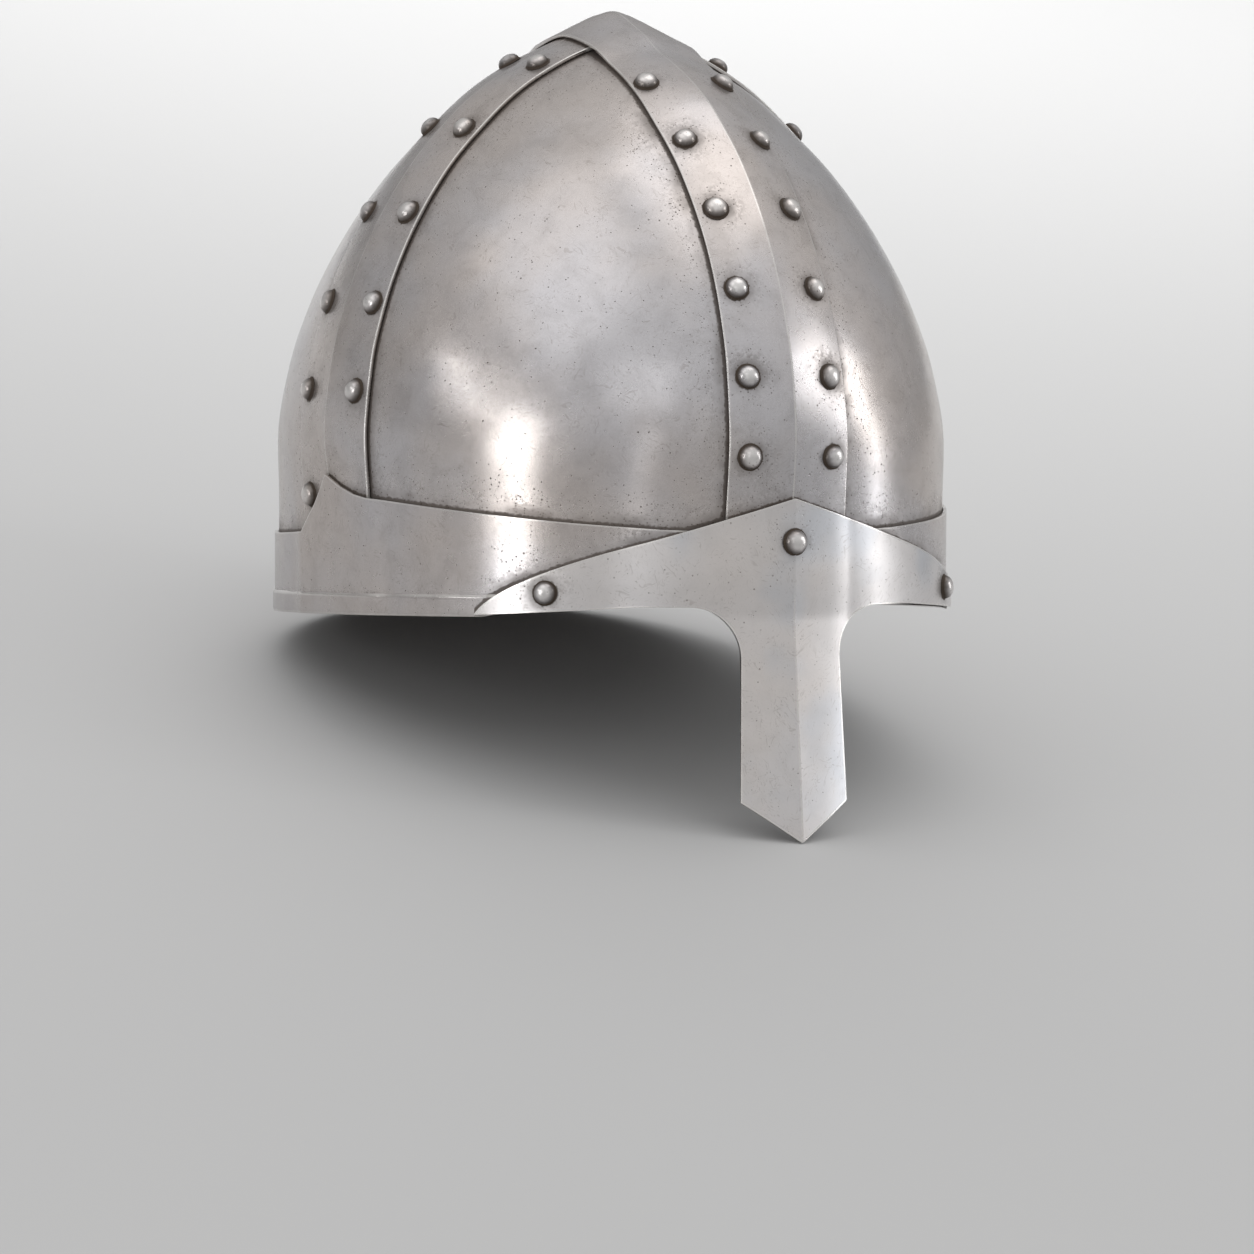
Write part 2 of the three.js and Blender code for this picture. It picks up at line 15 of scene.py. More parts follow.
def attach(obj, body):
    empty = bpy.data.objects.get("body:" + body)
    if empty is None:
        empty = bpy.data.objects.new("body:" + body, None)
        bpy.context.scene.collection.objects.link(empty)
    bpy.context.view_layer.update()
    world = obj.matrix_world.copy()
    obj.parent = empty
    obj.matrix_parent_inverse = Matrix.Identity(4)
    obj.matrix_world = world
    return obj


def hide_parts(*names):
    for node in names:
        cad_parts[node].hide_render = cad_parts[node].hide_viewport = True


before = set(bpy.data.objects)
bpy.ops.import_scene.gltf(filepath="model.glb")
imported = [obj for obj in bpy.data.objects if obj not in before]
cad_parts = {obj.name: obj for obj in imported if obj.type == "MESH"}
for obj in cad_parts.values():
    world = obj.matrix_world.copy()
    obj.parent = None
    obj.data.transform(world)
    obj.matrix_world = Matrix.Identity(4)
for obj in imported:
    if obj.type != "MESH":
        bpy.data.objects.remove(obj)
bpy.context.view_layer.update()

bl_info = {
    "name": "Nasal helmet",
    "version": (1, 0, 0),
    "blender": (4, 5, 0),
    "location": "3D View > Sidebar > Helmet",
    "description": "Builds a riveted steel helmet with a nose guard, sheet by sheet",
    "category": "Object",
}

MM = 0.001

# How the helmet, drawn upright with its rim near z = 0, leans back to rest: degrees and mm.
LEAN = 15.294365
LIFT = (0.0, 3.007475, 33.411558)

# The skull's outer face: its half width and half length, and its share of them at heights.
HALF_WIDTH = 95.0
HALF_LENGTH = 108.3
PROFILE_HEIGHTS = np.array([0, 33, 53, 73, 93, 112, 132, 147, 157, 166, 171, 181.2])
PROFILE_SHARES = np.array(
    [0.985, 1.004, 1.018, 0.9955, 0.94, 0.854, 0.722, 0.579, 0.46, 0.31, 0.203, 0]
)
TIP_ROUNDING = 0.035
TIP = 179.4
PLAN_POWER_AT_RIM = 2.45
PLAN_POWER_ABOVE = 1.73
PLAN_POWER_HEIGHT = 147.0
SEAM = 3.0
PLATE_LIFT = 1.0
PLATE_TOP = 175.5

# Sheet thicknesses, and the gap that parts one sheet from the next.
PLATE = 1.5
BAND = 1.2
BROW = 1.0
SHIELD = 1.3
GAP = 0.3

# The bands: their half widths at heights, their ridges, and where the side bands end.
WIDTH_HEIGHTS = (0, 60, 110, 150, 180)
FORE_WIDTHS = (20.5, 20, 18.3, 17.6, 16.5)
SIDE_WIDTHS = (21, 20.5, 17.5, 15, 14)
FORE_RIDGE = 2.3
SIDE_RIDGE = 1.6
RIDGE_FADE_FROM = 150.0
RIDGE_FADE_RUN = 18.0
RIDGE_RISE_FROM = 30.0
RIDGE_RISE_RUN = 20.0
BAND_BOTTOM = 8.0
STEP_MARGIN = 1.5
STEP_RUN = 7.0
CROWN_LAP_MARGIN = 3.5
CROWN_LAP_RUN = 9.0
SIDE_CENTRE = -1.7
SIDE_END = 9.0

# The brow band: its top edge by the angle from the front, its rim and its folded hem.
BROW_ANGLES = (0, 21, 35, 48, 64, 76.2, 80, 84.5, 89, 95, 101.5, 117, 180)
BROW_TOPS = (24.5, 26, 27.8, 29.8, 32.2, 33.7, 34.7, 37, 40.4, 31, 22.3, 21, 20.5)
RIM_DROP = 0.025
RIM_DROP_FROM = -75.0
HEM_HEIGHT = 5.5
HEM_PROUD = 0.6
HEM_FROM = 50.0
HEM_BEGINS = 44.0
HEM_FULL_FROM = 47.0
HEM_EASE_FROM = 45.0
HEM_EASE_RUN = 4.5

# The brow shield and nose guard, seen from the front.
SHIELD_PEAK = 35.3
SHIELD_SHOULDER = (44.0, 22.0)
SHIELD_BEND = (78.0, 12.5)
SHIELD_END = (82.0, 0.0)
WING_SAG = (66.0, 1.7)
EYE_ARCH = (46.0, 3.0)
EYE_ARCH_ANGLE = 25.0
GUARD_HALF_WIDTH = 16.6
GUARD_FOOT_HALF_WIDTH = 17.9
GUARD_FOOT = -55.0
GUARD_TIP = -67.0
GUARD_FILLET = 15.0
GUARD_LEAN = 0.07
GUARD_RIDGE = 4.0
GUARD_RIDGE_FROM = 20.0
GUARD_RIDGE_RUN = 80.0
SHIELD_LAP_FROM = 8.0
SHIELD_LAP_RUN = 28.0
SHIELD_EASE_MARGIN = -8.0
SHIELD_EASE_RUN = 36.0

# The rivets: (height, distance across) down a column of each kind of band.
RIVET_SEAT = 0.25
FORE_RIVETS = ((47.6, 14), (71.1, 13.7), (97, 13), (120.7, 12.4), (141.6, 12.5), (159.5, 12.8))
SIDE_RIVETS = ((33.9, 14.2), (65.6, 14.4), (92, 13.8), (119.2, 12), (144.7, 10), (164.8, 8.5))
CENTRE_RIVET_HEIGHT = 22.3
WING_RIVET_ANGLE = 40.3
WING_RIVET_HEIGHT = 7.0

# The camera, in the upright helmet's frame: angles in radians, lengths in mm.
CAMERA_TURN = 0.51184
CAMERA_RISE = 0.04412
CAMERA_ROLL = 0.00673
CAMERA_DISTANCE = 2500.0
CAMERA_SLIDE = (5.98873, -5.02513)
CAMERA_AIM_HEIGHT = -2.7
CAMERA_LENS = 231.9

# The lamps: name, turn from the front and rise in degrees, then distance, size, glow and tone.
LAMPS = (
    ("key strip", -77, 7, 2.2, (0.62, 1.1), 2.2, (1, 1, 1)),
    ("key foot", -77, 4, 2.2, (0.5, 0.3), 2.2, (1, 1, 1)),
    ("key arm", -101, 16, 2.2, (1.0, 0.2), 2.0, (1, 1, 1)),
    ("upper wash", -97, 54, 2.4, (2.0, 1.5), 0.42, (1, 0.99, 0.99)),
    ("overhead", 110, 78, 2.2, (1.6, 1.6), 0.8, (1, 0.98, 0.97)),
    ("front streak", -31, 38, 3.0, (1.3, 0.22), 1.1, (1, 1, 1)),
    ("front strip", -24, 14, 3.1, (0.4, 1.1), 0.6, (1, 1, 1)),
    ("side strip", 65, 10, 2.2, (0.26, 1.0), 3.4, (1, 1, 1)),
    ("side wash", 60, 26, 2.2, (0.8, 0.4), 2.5, (1, 1, 1)),
)
LAMP_AIM = (0, 0, 0.1)
FLOOR_PANEL = (0.6, 1.15, 0.65)
FLOOR_PANEL_SIZE = (1.3, 1.0)
FLOOR_PANEL_GLOW = 2.3

# The steel's fixed tones, then each steel's amounts of every effect: widths in mm.
MOTTLE = (0.13, 0.115, 0.1, 1)
SCRATCH = (0.2, 0.165, 0.135, 1)
# Bright rubbed steel on the sheets' free edges, also a painted highlight along ridges and the
# hem's fold.
RUBBED_STEEL_AND_HIGHLIGHT = (0.82, 0.8, 0.77, 1)
CLEAN_STEEL = (0.95, 0.92, 0.9, 1)
BLUE_STEEL = (0.52, 0.56, 0.62, 1)
BLUE_PATCHES = 0.5
# Painted highlight and painted shade for the rivets' domes.
DOME_PAINTED_HIGHLIGHT = (0.86, 0.84, 0.82, 1)
DOME_PAINTED_SHADE = (0.11, 0.095, 0.085, 1)
STEEL_COLUMNS = "mottle pits scratches line grime edge roughness waviness lift".split()
STEELS = {
    "plate steel": (0.2, 0.9, 0.8, 1.6, 0.85, 0.1, 0.0, 0.11, 0),
    "band steel": (0.24, 0.9, 0.7, 1.2, 0.9, 0.7, 0.02, 0.09, 0),
    "brow steel": (0.22, 0.8, 0.8, 1.2, 0.85, 0.6, 0.0, 0.1, 0),
    "shield steel": (0.22, 0.75, 0.8, 1.2, 0.8, 0.65, 0.06, 0.09, 0.4),
}

# Each set of scratches: its turn in radians, its lines per metre, and its length in widths.
SCRATCHES = ((0.3, 2100, 22), (1.25, 2500, 16), (2.2, 2300, 20), (2.8, 2700, 14))

# Each size of pit: cells per metre, the share left clean, how many more of them are pitted
# near a seam or rivet, and the widest radius as a share of a cell.
PITS = ((700.0, 0.95, 0.45, 0.22), (1400.0, 0.94, 0.45, 0.34))

UPRIGHT_TO_ROW = Matrix.Translation(Vector(LIFT)) @ Matrix.Rotation(-math.radians(LEAN), 4, "X")


def monotone_slopes(places, values):
    """Slopes of a smooth curve through a table that never overshoots its rows."""
    pitch = np.diff(values) / np.diff(places)
    before, after = pitch[:-1], pitch[1:]
    both = before + after
    inner = np.where(before * after > 0, 2 * before * after / np.where(both == 0, 1, both), 0)
    return np.concatenate([pitch[:1], inner, pitch[-1:]])


PROFILE_SLOPES = monotone_slopes(PROFILE_HEIGHTS, PROFILE_SHARES)


def share_at(height):
    inside = np.clip(height, PROFILE_HEIGHTS[0], PROFILE_HEIGHTS[-1])
    low = np.clip(np.searchsorted(PROFILE_HEIGHTS, inside) - 1, 0, len(PROFILE_HEIGHTS) - 2)
    run = PROFILE_HEIGHTS[low + 1] - PROFILE_HEIGHTS[low]
    t = (inside - PROFILE_HEIGHTS[low]) / run
    rise = 3 * t**2 - 2 * t**3
    sharp = (1 - rise) * PROFILE_SHARES[low] + rise * PROFILE_SHARES[low + 1]
    sharp += run * t * (1 - t) ** 2 * PROFILE_SLOPES[low]
    sharp -= run * t**2 * (1 - t) * PROFILE_SLOPES[low + 1]
    return np.sqrt(np.maximum(sharp**2 - TIP_ROUNDING**2, 0))


def plan_power(height):
    part = np.clip(height / PLAN_POWER_HEIGHT, 0, 1)
    return PLAN_POWER_AT_RIM + part * (PLAN_POWER_ABOVE - PLAN_POWER_AT_RIM)


def outside(points):
    """Above zero outside the skull's outer face, below zero inside it."""
    power = plan_power(points[..., 2])
    reach = np.abs(points[..., 0] / HALF_WIDTH) ** power
    reach = reach + np.abs(points[..., 1] / HALF_LENGTH) ** power
    return reach ** (1 / power) - share_at(points[..., 2])


def normals_at(points):
    step = 0.02
    slopes = []
    for axis in range(3):
        shift = np.zeros(3)
        shift[axis] = step
        slopes.append(outside(points + shift) - outside(points - shift))
    slopes = np.stack(slopes, -1)
    return slopes / np.maximum(np.linalg.norm(slopes, axis=-1, keepdims=True), 1e-12)


def skull_points(angle, height):
    """Points of the skull's outer face at angles from the front, towards +X, and heights."""
    angle, height = np.broadcast_arrays(np.asarray(angle, float), np.asarray(height, float))
    power = plan_power(height)
    reach = np.abs(np.sin(angle) / HALF_WIDTH) ** power
    reach = reach + np.abs(np.cos(angle) / HALF_LENGTH) ** power
    radius = share_at(height) * reach ** (-1 / power)
    return np.stack([radius * np.sin(angle), -radius * np.cos(angle), height], -1)


def lifted(points, rise):
    return points + normals_at(points) * np.asarray(rise)[..., None]


def step_down(distance, margin, run):
    """A straight run from 1 within a margin of zero down to 0."""
    t = np.clip((np.abs(distance) - margin) / run, 0, 1)
    return 1 - t


def smooth_step(distance, margin, run):
    """The same run from 1 down to 0, eased at both ends."""
    t = np.clip((np.abs(distance) - margin) / run, 0, 1)
    return 1 - t * t * (3 - 2 * t)


class Band:
    """A band's line over the skull: fore and aft along x = 0, or across at y = SIDE_CENTRE."""

    def __init__(self, centre, across, along, widths, ridge):
        self.centre = np.array(centre, float)
        self.across = np.array(across, float)
        self.along = np.array(along, float)
        self.widths = widths
        self.ridge = ridge

    def half_width(self, height):
        return np.interp(height, WIDTH_HEIGHTS, self.widths)

    def ridge_at(self, side, distance, height):
        fade = step_down(np.maximum(height, 0), RIDGE_FADE_FROM, RIDGE_FADE_RUN)
        risen = np.clip((height - RIDGE_RISE_FROM) / RIDGE_RISE_RUN, 0, 1)
        if self is FORE_AFT:
            risen = np.where(np.asarray(side) < 0, 1, risen)
        slope = np.maximum(1 - np.abs(distance) / self.half_width(height), 0)
        return self.ridge * fade * risen * slope

    def under(self, side, height, distance):
        """Points of the skull under the band, a distance across it from its centre line."""
        height, distance = np.broadcast_arrays(
            np.asarray(height, float), np.asarray(distance, float)
        )
        axis = np.zeros(height.shape + (3,))
        axis[..., :2] = self.centre[:2]
        axis[..., 2] = height
        along = self.along * np.asarray(side, float)[..., None]
        middle = slide_to_skull(axis, along, 2 * HALF_LENGTH, 0)
        normal = normals_at(middle)
        normal = normal - (normal @ self.across)[..., None] * self.across
        normal /= np.linalg.norm(normal, axis=-1, keepdims=True)
        middle = middle + distance[..., None] * self.across
        return slide_to_skull(middle, normal, PLATE, -HALF_WIDTH / 2)

    def points(self, side, height, distance, through=0.0):
        base = self.under(side, height, distance)
        lap = crown_lap(base) if self is FORE_AFT else 0
        return lifted(base, GAP + lap + self.ridge_at(side, distance, height) + BAND * through)


def slide_to_skull(start, direction, near, far):
    """Where lines meet the skull's outer face, by halving between a place out and one in."""
    out = np.full(start.shape[:-1], float(near))
    inn = np.full(start.shape[:-1], float(far))
    for _ in range(36):
        middle = (out + inn) / 2
        beyond = outside(start + direction * middle[..., None]) > 0
        out = np.where(beyond, middle, out)
        inn = np.where(beyond, inn, middle)
    return start + direction * ((out + inn) / 2)[..., None]


FORE_AFT = Band((0, 0, 0), (1, 0, 0), (0, 1, 0), FORE_WIDTHS, FORE_RIDGE)
SIDEWAYS = Band((0, SIDE_CENTRE, 0), (0, 1, 0), (1, 0, 0), SIDE_WIDTHS, SIDE_RIDGE)


def crown_lap(points):
    """How far the fore-and-aft band is lifted over the side bands' tucked ends."""
    margin = SIDEWAYS.half_width(points[..., 2]) + CROWN_LAP_MARGIN
    return (BAND + GAP) * step_down(points[..., 1] - SIDE_CENTRE, margin, CROWN_LAP_RUN)


def relief_under_brow(points, margin=STEP_MARGIN, run=STEP_RUN):
    """How far the brow band and shield stand off the skull to clear the bands there."""
    x, y, z = points[..., 0], points[..., 1], points[..., 2]
    past = y - SIDE_CENTRE
    over_fore = smooth_step(x, FORE_AFT.half_width(z) + margin, run)
    over_side = smooth_step(past, SIDEWAYS.half_width(z) + margin, run)
    ridges = FORE_AFT.ridge_at(np.sign(y), x, z) + SIDEWAYS.ridge_at(np.sign(x), past, z)
    return (BAND + GAP) * np.maximum(over_fore, over_side) + ridges


def from_front(degrees):
    """Angles folded to between 0 at the front and 180 at the back."""
    return 180 - np.abs(180 - np.mod(degrees, 360))


def brow_top(degrees):
    return np.interp(from_front(degrees), BROW_ANGLES, BROW_TOPS)


def rim_at(degrees):
    """The rim's height, which rises over the eyes and sinks towards the back."""
    past = np.maximum(from_front(degrees) - EYE_ARCH_ANGLE, 0)
    rise = EYE_ARCH[1] * step_down(past, 0, HEM_FROM - EYE_ARCH_ANGLE)
    y = skull_points(np.radians(degrees), 0)[..., 1]
    return rise - RIM_DROP * np.maximum(y - RIM_DROP_FROM, 0)


def curve_through(start, bend, end, steps):
    t = np.linspace(0, 1, steps)[:, None]
    start, bend, end = (np.array(p, float) for p in (start, bend, end))
    return (1 - t) ** 2 * start + 2 * t * (1 - t) * bend + t**2 * end


SHIELD_TOP = np.concatenate(
    [[(0, SHIELD_PEAK)], curve_through(SHIELD_SHOULDER, SHIELD_BEND, SHIELD_END, 60)]
)
WING_FOOT = curve_through(EYE_ARCH, WING_SAG, SHIELD_END, 40)


def shield_top(x):
    return np.interp(np.abs(x), SHIELD_TOP[:, 0], SHIELD_TOP[:, 1])


def shield_bottom(x):
    """The shield's lower edge beside the guard: a fillet, the eye's arch, then the wing's foot."""
    x = np.maximum(np.abs(x), GUARD_HALF_WIDTH)
    centre = GUARD_HALF_WIDTH + GUARD_FILLET
    past = np.minimum(x - centre, 0)
    fillet = EYE_ARCH[1] - GUARD_FILLET + np.sqrt(np.maximum(GUARD_FILLET**2 - past**2, 0))
    return np.where(x < EYE_ARCH[0], fillet, np.interp(x, WING_FOOT[:, 0], WING_FOOT[:, 1]))


def shield_points(x, z, through=0.0):
    """Points of the shield's inner face (or, through 1, its outer face) seen at x and z."""
    x, z = np.broadcast_arrays(np.asarray(x, float), np.asarray(z, float))
    height = np.maximum(z, 0)
    share = share_at(height)
    power = plan_power(height)
    base_x = x.copy()
    for _ in range(10):
        rest = np.maximum(share**power - np.abs(base_x / HALF_WIDTH) ** power, 0)
        base = np.stack([base_x, -HALF_LENGTH * rest ** (1 / power), height], -1)
        normal = normals_at(base)
        over_brow = (BROW + GAP) * smooth_step(
            np.maximum(z - SHIELD_LAP_FROM, 0), 0, SHIELD_LAP_RUN
        )
        down = np.clip((GUARD_RIDGE_FROM - z) / GUARD_RIDGE_RUN, 0, 1)
        near_centre = np.maximum(1 - np.abs(base_x) / FORE_AFT.half_width(0), 0)
        ridge = (GUARD_RIDGE - FORE_RIDGE) * down * near_centre
        eased = relief_under_brow(base, SHIELD_EASE_MARGIN, SHIELD_EASE_RUN)
        rise = GAP + eased + over_brow + ridge + SHIELD * through
        base_x = x - rise * normal[..., 0]
    place = base + normal * rise[..., None]
    lean = GUARD_LEAN * np.maximum(-z, 0)
    return np.stack([place[..., 0], place[..., 1] - lean, z], -1)


def even_heights(low, high, pitch):
    """Heights up the skull's profile, evenly spaced along its curve."""
    fine = np.linspace(low, high, 4000)
    run = np.hypot(np.diff(fine), HALF_LENGTH * np.diff(share_at(fine)))
    along = np.concatenate([[0], np.cumsum(run)])
    count = int(round(along[-1] / pitch))
    return np.interp(np.linspace(0, along[-1], count + 1), along, fine)


def running_length(points):
    """Length along each line of points, from its start."""
    run = np.linalg.norm(np.diff(points, axis=0), axis=-1)
    return np.concatenate([np.zeros((1,) + run.shape[1:]), np.cumsum(run, axis=0)])


# Modelling: a grid primitive is laid over the skull, then thickened and rounded by modifiers.
def read_all(items, key, width=1, kind=float):
    """A named value of every vertex or loop: a row of numbers for each where width is over 1."""
    flat = np.zeros(len(items) * width, kind)
    items.foreach_get(key, flat)
    return flat.reshape(-1, width) if width > 1 else flat


def clear_selection():
    if bpy.context.object and bpy.context.object.mode != "OBJECT":
        bpy.ops.object.mode_set(mode="OBJECT")
    bpy.ops.object.select_all(action="DESELECT")


def apply_modifier(piece, name, kind, **settings):
    modifier = piece.modifiers.new(name, kind)
    for key, value in settings.items():
        setattr(modifier, key, value)
    bpy.context.view_layer.objects.active = piece
    bpy.ops.object.modifier_apply(modifier=modifier.name)


def to_row(points):
    turn = np.array(UPRIGHT_TO_ROW.to_3x3())
    return (points @ turn.T + np.array(LIFT)) * MM


def lay_grid(name, points, marks, kept=None):
    """A grid primitive laid over rows and columns of points, with named distances marked on it.

    points is rows by columns by 3, in mm; marks holds arrays of the same rows and columns.
    """
    rows, columns = points.shape[:2]
    clear_selection()
    bpy.ops.mesh.primitive_grid_add(
        x_subdivisions=columns - 1, y_subdivisions=rows - 1, size=1, calc_uvs=True
    )
    piece = bpy.context.object
    piece.name = name
    mesh = piece.data
    mesh.name = name
    flat = read_all(mesh.vertices, "co", 3)
    column = np.rint((flat[:, 0] + 0.5) * (columns - 1)).astype(int)
    row = np.rint((flat[:, 1] + 0.5) * (rows - 1)).astype(int)
    mesh.vertices.foreach_set("co", to_row(points[row, column]).ravel())
    across = running_length(points.swapaxes(0, 1)).T
    up = running_length(points)
    loops = read_all(mesh.loops, "vertex_index", kind=int)
    layer = mesh.uv_layers.active
    layer.name = "sheet"
    lay = np.stack([across, up], -1)[row, column] * MM
    layer.data.foreach_set("uv", lay[loops].ravel())
    for key, values in marks.items():
        spot = mesh.attributes.new(key, "FLOAT", "POINT")
        spot.data.foreach_set("value", np.asarray(values, float)[row, column])
    if kept is not None:
        gone = ~kept[row, column]
        bpy.ops.object.mode_set(mode="EDIT")
        bpy.ops.mesh.select_all(action="DESELECT")
        bpy.ops.object.mode_set(mode="OBJECT")
        mesh.vertices.foreach_set("select", gone)
        bpy.ops.object.mode_set(mode="EDIT")
        bpy.ops.mesh.select_mode(type="VERT")
        bpy.ops.mesh.delete(type="VERT")
        bpy.ops.object.mode_set(mode="OBJECT")
    mesh.update()
    return piece


def face_outwards(piece):
    """Turns an open sheet's faces away from the inside of the helmet."""
    inside = UPRIGHT_TO_ROW @ Vector((0, 0, 20)) * MM
    mesh = piece.data
    facing = sum(p.normal.dot(p.center - inside) * p.area for p in mesh.polygons)
    if facing < 0:
        bpy.ops.object.mode_set(mode="EDIT")
        bpy.ops.mesh.select_all(action="SELECT")
        bpy.ops.mesh.flip_normals()
        bpy.ops.object.mode_set(mode="OBJECT")


def finish_sheet(piece, thickness, material, slot, *nodes):
    """Gives a laid grid its thickness and rounded edges, and puts it in its nodes' place."""
    sizes = bpy.context.scene.helmet_sizes
    bpy.context.view_layer.objects.active = piece
    bpy.ops.object.mode_set(mode="EDIT")
    bpy.ops.mesh.select_all(action="SELECT")
    bpy.ops.mesh.remove_doubles(threshold=0.00002)
    bpy.ops.object.mode_set(mode="OBJECT")
    face_outwards(piece)
    apply_modifier(
        piece,
        "Thickness",
        "SOLIDIFY",
        thickness=thickness * MM,
        offset=1,
        use_even_offset=True,
        use_quality_normals=True,
    )
    apply_modifier(
        piece,
        "Rounded edges",
        "BEVEL",
        width=sizes.edge_rounding,
        segments=3,
        limit_method="ANGLE",
        angle_limit=math.radians(55),
        use_clamp_overlap=True,
    )
    clear_selection()
    piece.select_set(True)
    bpy.context.view_layer.objects.active = piece
    bpy.ops.object.shade_smooth_by_angle(angle=math.radians(40))
    put_in_place(piece, material, slot, *nodes)


def put_in_place(piece, material, slot, *nodes):
    piece.data.materials.clear()
    piece.data.materials.append(material)
    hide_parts(*nodes)
    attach(piece, "root")


def nearest(points, spots):
    """Distance of each point to the nearest of some spots."""
    gaps = np.full(points.shape[:-1], 1e3)
    for spot in spots:
        gaps = np.minimum(gaps, np.linalg.norm(points - spot, axis=-1))
    return gaps


# The rivets' seats: each has a name, a point on the face under its head, and a direction.
def rivet_seat(name, surface):
    step = 0.5
    seat = surface(0, 0)
    one = surface(step, 0) - surface(-step, 0)
    two = surface(0, step) - surface(0, -step)
    axis = np.cross(one, two)
    axis /= np.linalg.norm(axis)
    if axis @ normals_at(seat) < 0:
        axis = -axis
    return {"name": name, "seat": seat, "axis": axis}


def band_seats(band, side, rows, prefix):
    seats = []
    for hand in (-1, 1):
        names = ("right", "left") if band is FORE_AFT else ("front", "rear")
        column = names[0 if hand < 0 else 1]
        for index, (height, across) in enumerate(rows):
            if band is SIDEWAYS and hand < 0 and index == 0:
                continue

            def surface(up, out, height=height, across=across):
                return band.points(side, height + up, hand * across + out, 1)

            seats.append(rivet_seat(f"{prefix}_{column}_{index + 1}", surface))
    return seats


def shield_seats():
    def at(angle, height):
        def surface(up, out):
            turn = angle + out / HALF_LENGTH
            x = skull_points(turn, height)[..., 0]
            return shield_points(x, height + up, 1)

        return surface

    wing = math.radians(WING_RIVET_ANGLE)
    return [
        rivet_seat("rivet_nasal_centre", at(0, CENTRE_RIVET_HEIGHT)),
        rivet_seat("rivet_nasal_right", at(-wing, WING_RIVET_HEIGHT)),
        rivet_seat("rivet_nasal_left", at(wing, WING_RIVET_HEIGHT)),
    ]


SEATS = [
    *band_seats(FORE_AFT, -1, FORE_RIVETS, "rivet_front"),
    *band_seats(FORE_AFT, 1, FORE_RIVETS, "rivet_back"),
    *band_seats(SIDEWAYS, -1, SIDE_RIVETS, "rivet_side_right"),
    *band_seats(SIDEWAYS, 1, SIDE_RIVETS, "rivet_side_left"),
    *shield_seats(),
]


def seats_of(*prefixes):
    return [s["seat"] for s in SEATS if s["name"].startswith(prefixes)]


def gap_to_brow(points):
    """Height of points over the brow band's and the shield's top edges."""
    degrees = np.degrees(np.arctan2(points[..., 0], -points[..., 1]))
    over_brow = points[..., 2] - brow_top(degrees)
    over_shield = points[..., 2] - shield_top(points[..., 0])
    in_front = (points[..., 1] < 0) & (np.abs(points[..., 0]) < SHIELD_END[0])
    return np.where(in_front, np.minimum(over_brow, over_shield), over_brow)


def gap_to_fore_band(points):
    return np.abs(points[..., 0]) - FORE_AFT.half_width(points[..., 2])


def gap_to_side_band(points):
    past = points[..., 1] - SIDE_CENTRE
    return np.abs(past) - SIDEWAYS.half_width(points[..., 2])


# Materials. A node tree is written with small helpers, and effects that more than one steel
# uses are node groups with named inputs and outputs.
def add_node(tree, kind, inputs=None, **settings):
    node = tree.nodes.new(kind)
    for key, value in settings.items():
        setattr(node, key, value)
    for key, value in (inputs or {}).items():
        if isinstance(value, bpy.types.NodeSocket):
            tree.links.new(value, node.inputs[key])
        else:
            node.inputs[key].default_value = value
    return node


def maths(tree, operation, first, second=0.0, clamp=False):
    inputs = {0: first, 1: second}
    node = add_node(tree, "ShaderNodeMath", inputs, operation=operation, use_clamp=clamp)
    return node.outputs[0]


def times(tree, first, second):
    return maths(tree, "MULTIPLY", first, second)


def either(tree, first, second):
    """The larger of two masks."""
    return second if first is None else maths(tree, "MAXIMUM", first, second)


def ramp(tree, value, low, high, start=0.0, end=1.0, kind="SMOOTHSTEP"):
    inputs = {"Value": value, "From Min": low, "From Max": high, "To Min": start, "To Max": end}
    node = add_node(tree, "ShaderNodeMapRange", inputs, interpolation_type=kind)
    return node.outputs["Result"]


def noise(tree, place, scale, detail=2.0, rough=0.5, twist=0.0):
    inputs = {"Vector": place, "Scale": scale, "Detail": detail, "Roughness": rough}
    inputs["Distortion"] = twist
    return add_node(tree, "ShaderNodeTexNoise", inputs).outputs["Fac"]


def blend(tree, amount, first, second):
    inputs = {0: amount, 6: first, 7: second}
    return add_node(tree, "ShaderNodeMix", inputs, data_type="RGBA").outputs[2]


def vector_maths(tree, operation, first, second):
    node = add_node(tree, "ShaderNodeVectorMath", {0: first, 1: second}, operation=operation)
    return node.outputs[0]


def new_group(name, inputs, outputs):
    """A shader node group with named sockets, and its inner input and output sockets."""
    tree = bpy.data.node_groups.new(name, "ShaderNodeTree")
    kinds = {"V": "NodeSocketVector", "F": "NodeSocketFloat", "C": "NodeSocketColor"}
    for way, sockets in (("INPUT", inputs), ("OUTPUT", outputs)):
        for label, kind in sockets:
            tree.interface.new_socket(name=label, in_out=way, socket_type=kinds[kind])
    given = tree.nodes.new("NodeGroupInput")
    result = tree.nodes.new("NodeGroupOutput")
    return tree, given.outputs, result.inputs


def use_group(tree, group, **inputs):
    """The one output of a group, whose inputs are given by name."""
    group = bpy.data.node_groups[group]
    return add_node(tree, "ShaderNodeGroup", inputs, node_tree=group).outputs[0]


def make_tone_group():
    """Steel's own colour: broad warm and cool clouds, then finer darker mottling."""
    inputs = [("Place", "V"), ("Warm", "C"), ("Cool", "C"), ("Mottle", "F")]
    tree, given, result = new_group("Steel tone", inputs, [("Colour", "C")])
    place = given["Place"]
    broad = ramp(tree, noise(tree, place, 14.0, 3.0), 0.36, 0.64)
    clouds = blend(tree, broad, given["Warm"], given["Cool"])
    blots = ramp(tree, noise(tree, place, 95.0, 6.0, 0.62, 0.6), 0.42, 0.72)
    grain = ramp(tree, noise(tree, place, 1500.0, 2.0), 0.35, 0.75)
    marks = maths(tree, "ADD", times(tree, blots, 0.7), times(tree, grain, 0.3))
    shaded = blend(tree, times(tree, marks, given["Mottle"]), clouds, MOTTLE)
    tree.links.new(shaded, result["Colour"])


